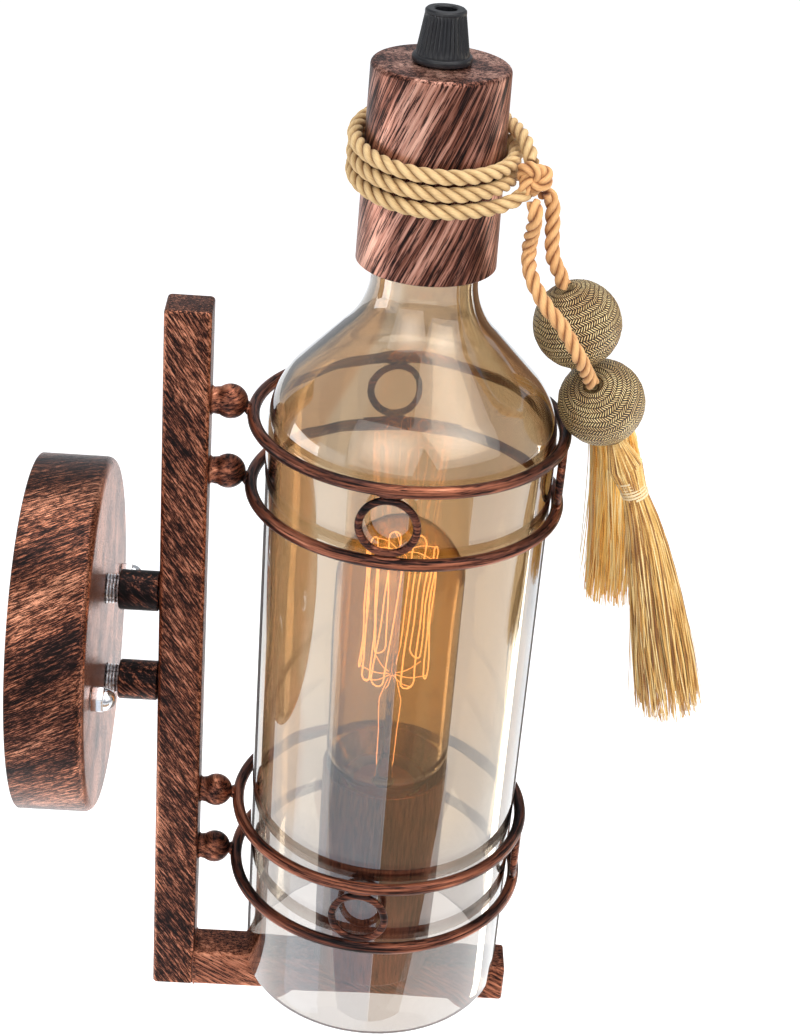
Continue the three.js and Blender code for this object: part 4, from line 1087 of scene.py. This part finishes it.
def makeBottle():
    edge = bottle["wall"] / 2
    outerFoot = arc(bottle["foot"] - edge, bottle["floor"] + edge, edge, -90, 0, 6)
    innerFoot = arc(bottle["foot"] - edge, bottle["floor"] + edge, edge, 180, 268, 6)
    outer, inner = shoulderLine(0), shoulderLine(bottle["wall"])
    bodyOut, bodyIn = upTo(outerFoot[-1], outer[0], 24), upTo(innerFoot[0], inner[0], 24)
    bore, wide, soft, lipFoot, mouth = (bottle[key] for key in
                                        ("bore", "lip", "lipEdge", "lipFoot", "mouth"))
    lip = [(bottle["neckTop"], lipFoot), (wide, lipFoot + soft), (wide, mouth - soft),
           *arc(wide - soft, mouth - soft, soft, 0, 90, 4), (bore, mouth), (bore, lipFoot)]
    neckOut, neckIn = upTo(outer[-1], lip[0], 8), upTo(lip[-1], inner[-1], 8)
    profile = [*outerFoot, *bodyOut, *outer, *neckOut, *lip, *neckIn, *reversed(inner), *reversed(bodyIn),
               *innerFoot]
    bm = turned(profile, 192, hollow=True)
    for v in bm.verts:  # blown glass is never quite even on its inside
        r = math.hypot(v.co.x, v.co.y)
        inward = v.normal.dot(Vector((v.co.x, v.co.y, 0))) < 0
        if inward and r < bottle["foot"] - 1.2 and v.co.z < lipFoot - 8:
            wave = noise.noise(Vector((v.co.x * 0.035, v.co.y * 0.035, v.co.z * 0.02)))
            fine = noise.noise(Vector((v.co.x * 0.09 + 7, v.co.y * 0.09, v.co.z * 0.07)))
            share = 1 + (0.32 * wave + 0.10 * fine) / max(r, 8)
            v.co.x, v.co.y = v.co.x * share, v.co.y * share
    finished("bottle_glass", bm, bottleLook, "bottle", "bottle", crease=50, shift=onAxis)


makeBottle()
print("bottle made")


# Cap over the neck and the cord grip on it
topCap = {"top": 203.5, "height": 62, "topRadius": 21, "mouthRadius": 21.8}
grip = {"foot": 203.8, "flange": 9, "flangeThick": 2.4, "low": 8, "high": 6.1, "height": 15.7, "bore": 3.3,
        "tail": 6.8, "ribs": 34, "ribDepth": 0.42, "thread": 5}


def makeTopCap():
    bm = cupShell(topCap["topRadius"], topCap["mouthRadius"], topCap["height"])
    moved(bm, bm.verts, Matrix.Rotation(math.pi, 3, "X"), (0, axisY, topCap["top"]))
    finished("top_cap_shell", bm, capLook, "cap", "top_cap")

    foot, top = grip["foot"], grip["foot"] + grip["height"]
    shelf = foot + grip["flangeThick"]
    body = [(grip["low"] + (grip["high"] - grip["low"]) * i / 16,
             shelf + 0.3 + (top - 1.6 - shelf) * i / 16) for i in range(17)]
    bm = turned([(grip["bore"], foot - grip["tail"]), (grip["thread"], foot - grip["tail"]),
                 (grip["thread"], foot), (grip["flange"] - 0.5, foot), (grip["flange"], foot + 0.5),
                 *arc(grip["flange"] - 1.0, shelf - 1.0, 1.0, 0, 90, 4), *body,
                 (grip["high"] + 0.1, top - 1.1), (grip["high"], top - 0.5), (grip["high"] - 0.5, top),
                 (grip["bore"] + 0.4, top), (grip["bore"], top - 0.4)], 6 * grip["ribs"], hollow=True)
    for v in bm.verts:
        r = math.hypot(v.co.x, v.co.y)
        if shelf + 0.2 < v.co.z < top - 1.2 and r > grip["high"] - 0.2:
            angle = math.atan2(v.co.y, v.co.x)
            fade = min((v.co.z - shelf) / 2, 1) * min((top - 1.1 - v.co.z) / 0.8, 1)
            depth = grip["ribDepth"] * fade * (0.5 - 0.5 * math.cos(grip["ribs"] * angle))
            v.co.x, v.co.y = v.co.x * (r - depth) / r, v.co.y * (r - depth) / r
    finished("cord_grip_ribbed", bm, plasticLook, "cap", "cord_grip", shift=onAxis)


makeTopCap()
print("cap made")


# Beads and tassels
def braidLook():
    # rows of gold yarns that slant one way and the other; colour follows each yarn's height, near black
    # where the yarns lie lowest and pale gold on their crests as a painted highlight
    material, tree, shader = newLook("braid", Roughness=0.42)
    across, up = uvParts(tree)
    sway = noiseOn(tree, objectPattern(tree), 120, 2)
    rows = times(tree, up, bead["rows"])
    rows = times(tree, calc(tree, "SUBTRACT", sway, 0.5), 1.8, rows)
    row = calc(tree, "FLOOR", rows)
    inRow = calc(tree, "FRACT", rows)
    wide = calc(tree, "SINE", times(tree, row, math.pi / bead["rows"]))
    count = calc(tree, "ROUND", times(tree, wide, bead["yarns"], 10))
    side = times(tree, calc(tree, "MODULO", row, 2.0), 2.0, -1.0)
    slant = times(tree, times(tree, inRow, side), 1.3)
    phase = times(tree, across, count, slant)
    wave = calc(tree, "SINE", times(tree, phase, 2 * math.pi))
    yarn = times(tree, wave, 0.5, 0.5)
    edge = calc(tree, "ABSOLUTE", calc(tree, "SUBTRACT", inRow, 0.5))
    height = times(tree, yarn, spread(tree, edge, 1.0, 0.4, 0.30, 0.5))
    grain = noiseOn(tree, objectPattern(tree), 1500, 3, 0.7)
    patch = noiseOn(tree, objectPattern(tree), 110, 2)
    value = times(tree, height, 0.58, times(tree, grain, 0.54))
    # painted highlight: pale gold where yarn height and grain are greatest
    colour = ramp(tree, value, [(0.46, (0.006, 0.005, 0.004)), (0.55, (0.12, 0.062, 0.018)),
                                (0.66, (0.74, 0.43, 0.125)), (0.78, (1.0, 0.83, 0.46))])
    tired = ramp(tree, patch, [(0.38, (0.70, 0.60, 0.52)), (0.60, (1, 1, 1))])
    into(tree, mixed(tree, 1.0, colour, tired, "MULTIPLY"), shader, "Base Color")
    into(tree, spread(tree, height, 0.0, 0.35), shader, "Metallic")
    bumped(tree, shader, value, 0.9, 0.0005)
    return material


braid = braidLook()


def makeBead(side, pole):
    hole, deep = bead["hole"]
    bm = bmesh.new()
    bm.loops.layers.uv.new("UVMap")
    bmesh.ops.create_uvsphere(bm, u_segments=112, v_segments=64, radius=bead["radius"], calc_uvs=True)
    for v in bm.verts:
        lift = -0.12 + 0.14 * noise.noise(v.co * 0.5) + 0.10 * noise.noise(v.co * 1.6)
        v.co *= 1 + lift / bead["radius"]
        inHole = max(0.0, 1 - math.hypot(v.co.x, v.co.y) / hole)
        v.co.z -= math.copysign(deep * min(inHole * 2.2, 1.0), v.co.z)
    turn = Vector((0, 0, 1)).rotation_difference(Vector(pole).normalized()).to_matrix()
    moved(bm, bm.verts, turn)
    finished(f"bead_braid_{side}", bm, braid, "pendants", f"bead_{side}", crease=0,
             shift=Vector(bead[side]) + onAxis)


makeBead("upper", rope["shortEnd"])
makeBead("lower", rope["longEnd"])
print("beads made")


# for each tassel: the way it leaves its bead, places down its middle line with the radius there, where
# its binding starts and ends and in how many turns, and the tones of its threads
tassel = {
    "upperWay": (0.69, -0.12, -0.714),
    "upper": [(0, 0, 0, 2.4), (4.6, -1.3, -4, 3.2), (9.6, -3.6, -10.8, 3.6), (11.6, -7, -18, 4.2),
              (12, -12.2, -26, 6.2), (12, -17.2, -38, 7.8), (11.6, -20.6, -58, 8.8),
              (11.2, -22.8, -79, 9.4), (11.2, -24, -99.5, 9.8)],
    "lowerWay": (-0.05, -0.42, -0.906),
    "lower": [(0, 0, 0, 2.6), (-0.1, -1.6, -3, 5.2), (-0.3, -3.6, -7.4, 6), (-0.5, -5.4, -11.4, 4.8),
              (-0.6, -6.6, -14, 3.9), (-0.8, -9.2, -20, 3.9), (-1.1, -13, -31, 6.2), (-1.6, -19, -52, 8.4),
              (-2.1, -24.6, -75, 10.2), (-2.3, -30, -99, 11.2)],
    "upperBinding": (0.10, 0.16, 5),
    "lowerBinding": (0.135, 0.20, 6),
    "threads": 420,
    "thread": 0.24,
    "stray": 34,
    "bindingThread": 0.42,
    # painted light and shade: both tassels are of one thread, but the lower one's tones are painted darker,
    # as if in shadow, and the upper one's brighter and more orange
    "upperPaintedLightTones": [(0.18, (0.52, 0.20, 0.03)), (0.32, (0.95, 0.49, 0.095)), (0.52, (0.99, 0.64, 0.18)),
                   (0.78, (0.99, 0.82, 0.44))],
    "lowerPaintedLightTones": [(0.24, (0.20, 0.075, 0.016)), (0.38, (0.50, 0.235, 0.050)), (0.56, (0.72, 0.44, 0.125)),
                   (0.78, (0.90, 0.72, 0.36))],
}
bindingLook = threadLook("binding", [(0.2, (0.72, 0.50, 0.24)), (0.7, (0.96, 0.84, 0.58))])


def makeTassel(side):
    start = onSkin(bead[side], bead["radius"], tassel[side + "Way"]) + onAxis
    rows = tassel[side]
    steps = 60
    line = [start + Vector(r[:3]) for r in rows]
    fineLine = smoothLine(line, steps)
    sides, reach = sidesAlong(fineLine), reaches(line)

    def radiusAt(share):
        goal = share * reach[-1]
        for i in range(len(reach) - 1):
            if goal <= reach[i + 1]:
                t = (goal - reach[i]) / (reach[i + 1] - reach[i])
                return rows[i][3] + (rows[i + 1][3] - rows[i][3]) * t
        return rows[-1][3]

    def placeAt(share, angle, out):
        at = share * steps
        k = min(int(at), steps - 1)
        return beside(fineLine[k].lerp(fineLine[k + 1], at - k), sides[k], angle, out)

    lines, radii = [], []
    for n in range(tassel["threads"] + tassel["stray"]):
        stray = n >= tassel["threads"]
        out = math.sqrt(chance.random()) * 0.95
        if n % 3:
            out = 0.82 + 0.16 * chance.random()
        angle = chance.uniform(0, 2 * math.pi)
        swirl = chance.uniform(-0.35, 0.35) * (2.2 if stray else 1)
        last = 0.985 - 0.12 * chance.random() ** 2
        drift = chance.uniform(0.1, 0.6) if stray else chance.uniform(-0.12, 0.06)
        sway = chance.uniform(-0.5, 0.5)
        made = []
        for i in range(11):
            share = last * i / 10
            r = radiusAt(share) * min(out + drift * share ** 1.5, 1.45 if stray else 0.99)
            made.append(placeAt(share, angle + swirl * share + 0.10 * math.sin(7 * share + sway * 9), r))
        lines.append(made)
        thick = tassel["thread"] * (0.5 if stray else 1)
        radii.append([thick] * 9 + [thick * 0.9, thick * 0.5])
    wraps = []
    low, high, turns = tassel[side + "Binding"]
    for i in range(11 * turns + 1):
        share = low + (high - low) * i / (11 * turns)
        wraps.append(placeAt(share, 2 * math.pi * i / 11, radiusAt(share) + 0.25))
    look = threadLook(f"tassel_{side}", tassel[side + "PaintedLightTones"])
    threads(f"tassel_threads_{side}", lines, radii, look, "pendants", f"tassel_{side}", 0)
    threads(f"tassel_binding_{side}", [wraps], [tassel["bindingThread"]], bindingLook,
            "pendants", None, 1)


makeTassel("upper")
makeTassel("lower")
print("tassels made")


# Floor and light
stage = {
    "floor": -0.9,
    "sky": ((0.79, 0.82, 0.87), 0.55),
    # name, place, what it faces, width and height, power, tone
    "lights": (
        ("key", (-1.0, -1.1, 1.2), (0, -0.1, 0.05), (1.3, 1.3), 14, (1, 1, 1)),
        ("fill", (-1.4, 0.5, 0.9), (0, -0.1, 0.05), (1.2, 1.2), 5, (1, 1, 1)),
        ("top", (0.2, -0.2, 1.9), (0, -0.1, 0.05), (1.6, 1.6), 20, (1, 1, 1)),
        ("high strip", (0.0, 0.75, -0.02), (0, -0.1, 0.10), (0.5, 0.32), 1.3, (1, 1, 1)),
        ("left strip", (-0.37, 0.64, -0.30), (0, -0.12, -0.05), (0.46, 1.1), 0.75, (0.62, 0.78, 1)),
        ("right strip", (0.375, -0.94, -0.30), (0, -0.12, -0.05), (0.15, 1.1), 2.6, (1, 0.95, 0.80)),
    ),
    # boards that the glass and the metal mirror: name, place, what it faces, width and height, tone, glow
    "boards": (
        ("left board", (0.44, 0.67, -0.37), (0, -0.12, -0.37), (1.25, 0.20), (0.34, 0.20, 0.11), 0),
        ("right board", (0.70, -0.72, -0.06), (0, -0.12, -0.06), (0.55, 0.68), (0.22, 0.11, 0.05), 0),
        ("left low board", (0.73, 0.23, -0.64), (0, -0.12, -0.64), (0.18, 0.6), (0.10, 0.09, 0.09), 0),
        ("right low board", (0.73, -0.44, -0.64), (0, -0.12, -0.64), (0.18, 0.6), (0.14, 0.12, 0.11), 0),
        ("front board", (-0.80, -0.60, -0.60), (0, -0.60, -0.60), (0.94, 0.6), (0.52, 0.35, 0.22), 0),
        ("blue front board", (-0.80, 0.33, -0.60), (0, 0.33, -0.60), (0.90, 0.6), (0.80, 0.86, 0.96), 0),
        ("soft key", (-1.02, -1.12, 1.22), (0, -0.1, 0.05), (2.0, 2.0), (0.9, 0.9, 0.9), 1.3),
        ("soft fill", (-1.42, 0.51, 0.91), (0, -0.1, 0.05), (1.8, 1.8), (0.9, 0.9, 0.9), 1.0),
    ),
}


def paintedBoard(name, size, tone, place, rotation, glow, soft=False):
    bm = bmesh.new()
    bmesh.ops.create_grid(bm, x_segments=1, y_segments=1, size=0.5)
    bmesh.ops.scale(bm, vec=(*size, 1), verts=bm.verts)
    made = objectOf(name, bm)
    made.location, made.rotation_euler = place, rotation
    material, tree, shader = newLook(name, Roughness=0.8, Emission_Color=(1, 1, 1, 1),
                                     Emission_Strength=glow)
    cloud = noiseOn(tree, objectPattern(tree), 2, 2)
    into(tree, ramp(tree, cloud, [(0.2, [0.97 * c for c in tone]), (0.8, tone)]), shader, "Base Color")
    if soft:  # a soft box: bright in its middle, dark at its rim
        half = mapped(tree, objectPlace(tree), Scale=(2 / size[0], 2 / size[1], 1))
        middle = add(tree, "TexGradient", {"Vector": half}, gradient_type="SPHERICAL").outputs["Fac"]
        fall = add(tree, "MapRange", {"Value": middle, "To Max": glow}, interpolation_type="SMOOTHSTEP")
        into(tree, fall.outputs[0], shader, "Emission Strength")
    made.data.materials.append(material)
    return made


def makeStage():
    paintedBoard("floor", (12, 12), (0.93, 0.93, 0.93), (0, 0, stage["floor"]), (0, 0, 0), 0.62)
    world = bpy.data.worlds.new("studio")
    world.use_nodes = True
    bpy.context.scene.world = world
    background = world.node_tree.nodes["Background"]
    background.inputs["Color"].default_value = (*stage["sky"][0], 1)
    background.inputs["Strength"].default_value = stage["sky"][1]

    def facing(place, aim):
        return (Vector(aim) - Vector(place)).to_track_quat("-Z", "Y").to_euler()

    for name, place, aim, size, power, tone in stage["lights"]:
        data = bpy.data.lights.new(name, "AREA")
        data.shape, data.size, data.size_y = "RECTANGLE", *size
        data.energy, data.color = power, tone
        made = newObject(name, data)
        made.location, made.rotation_euler = place, facing(place, aim)
        made.visible_glossy = "strip" in name or name == "top"
    for name, place, aim, size, tone, glow in stage["boards"]:
        made = paintedBoard(name, size, tone, place, facing(place, aim), glow, glow > 0)
        made.visible_camera = False
        made.visible_shadow = False
    bpy.context.scene.view_settings.view_transform = "Standard"


makeStage()
print("stage set")
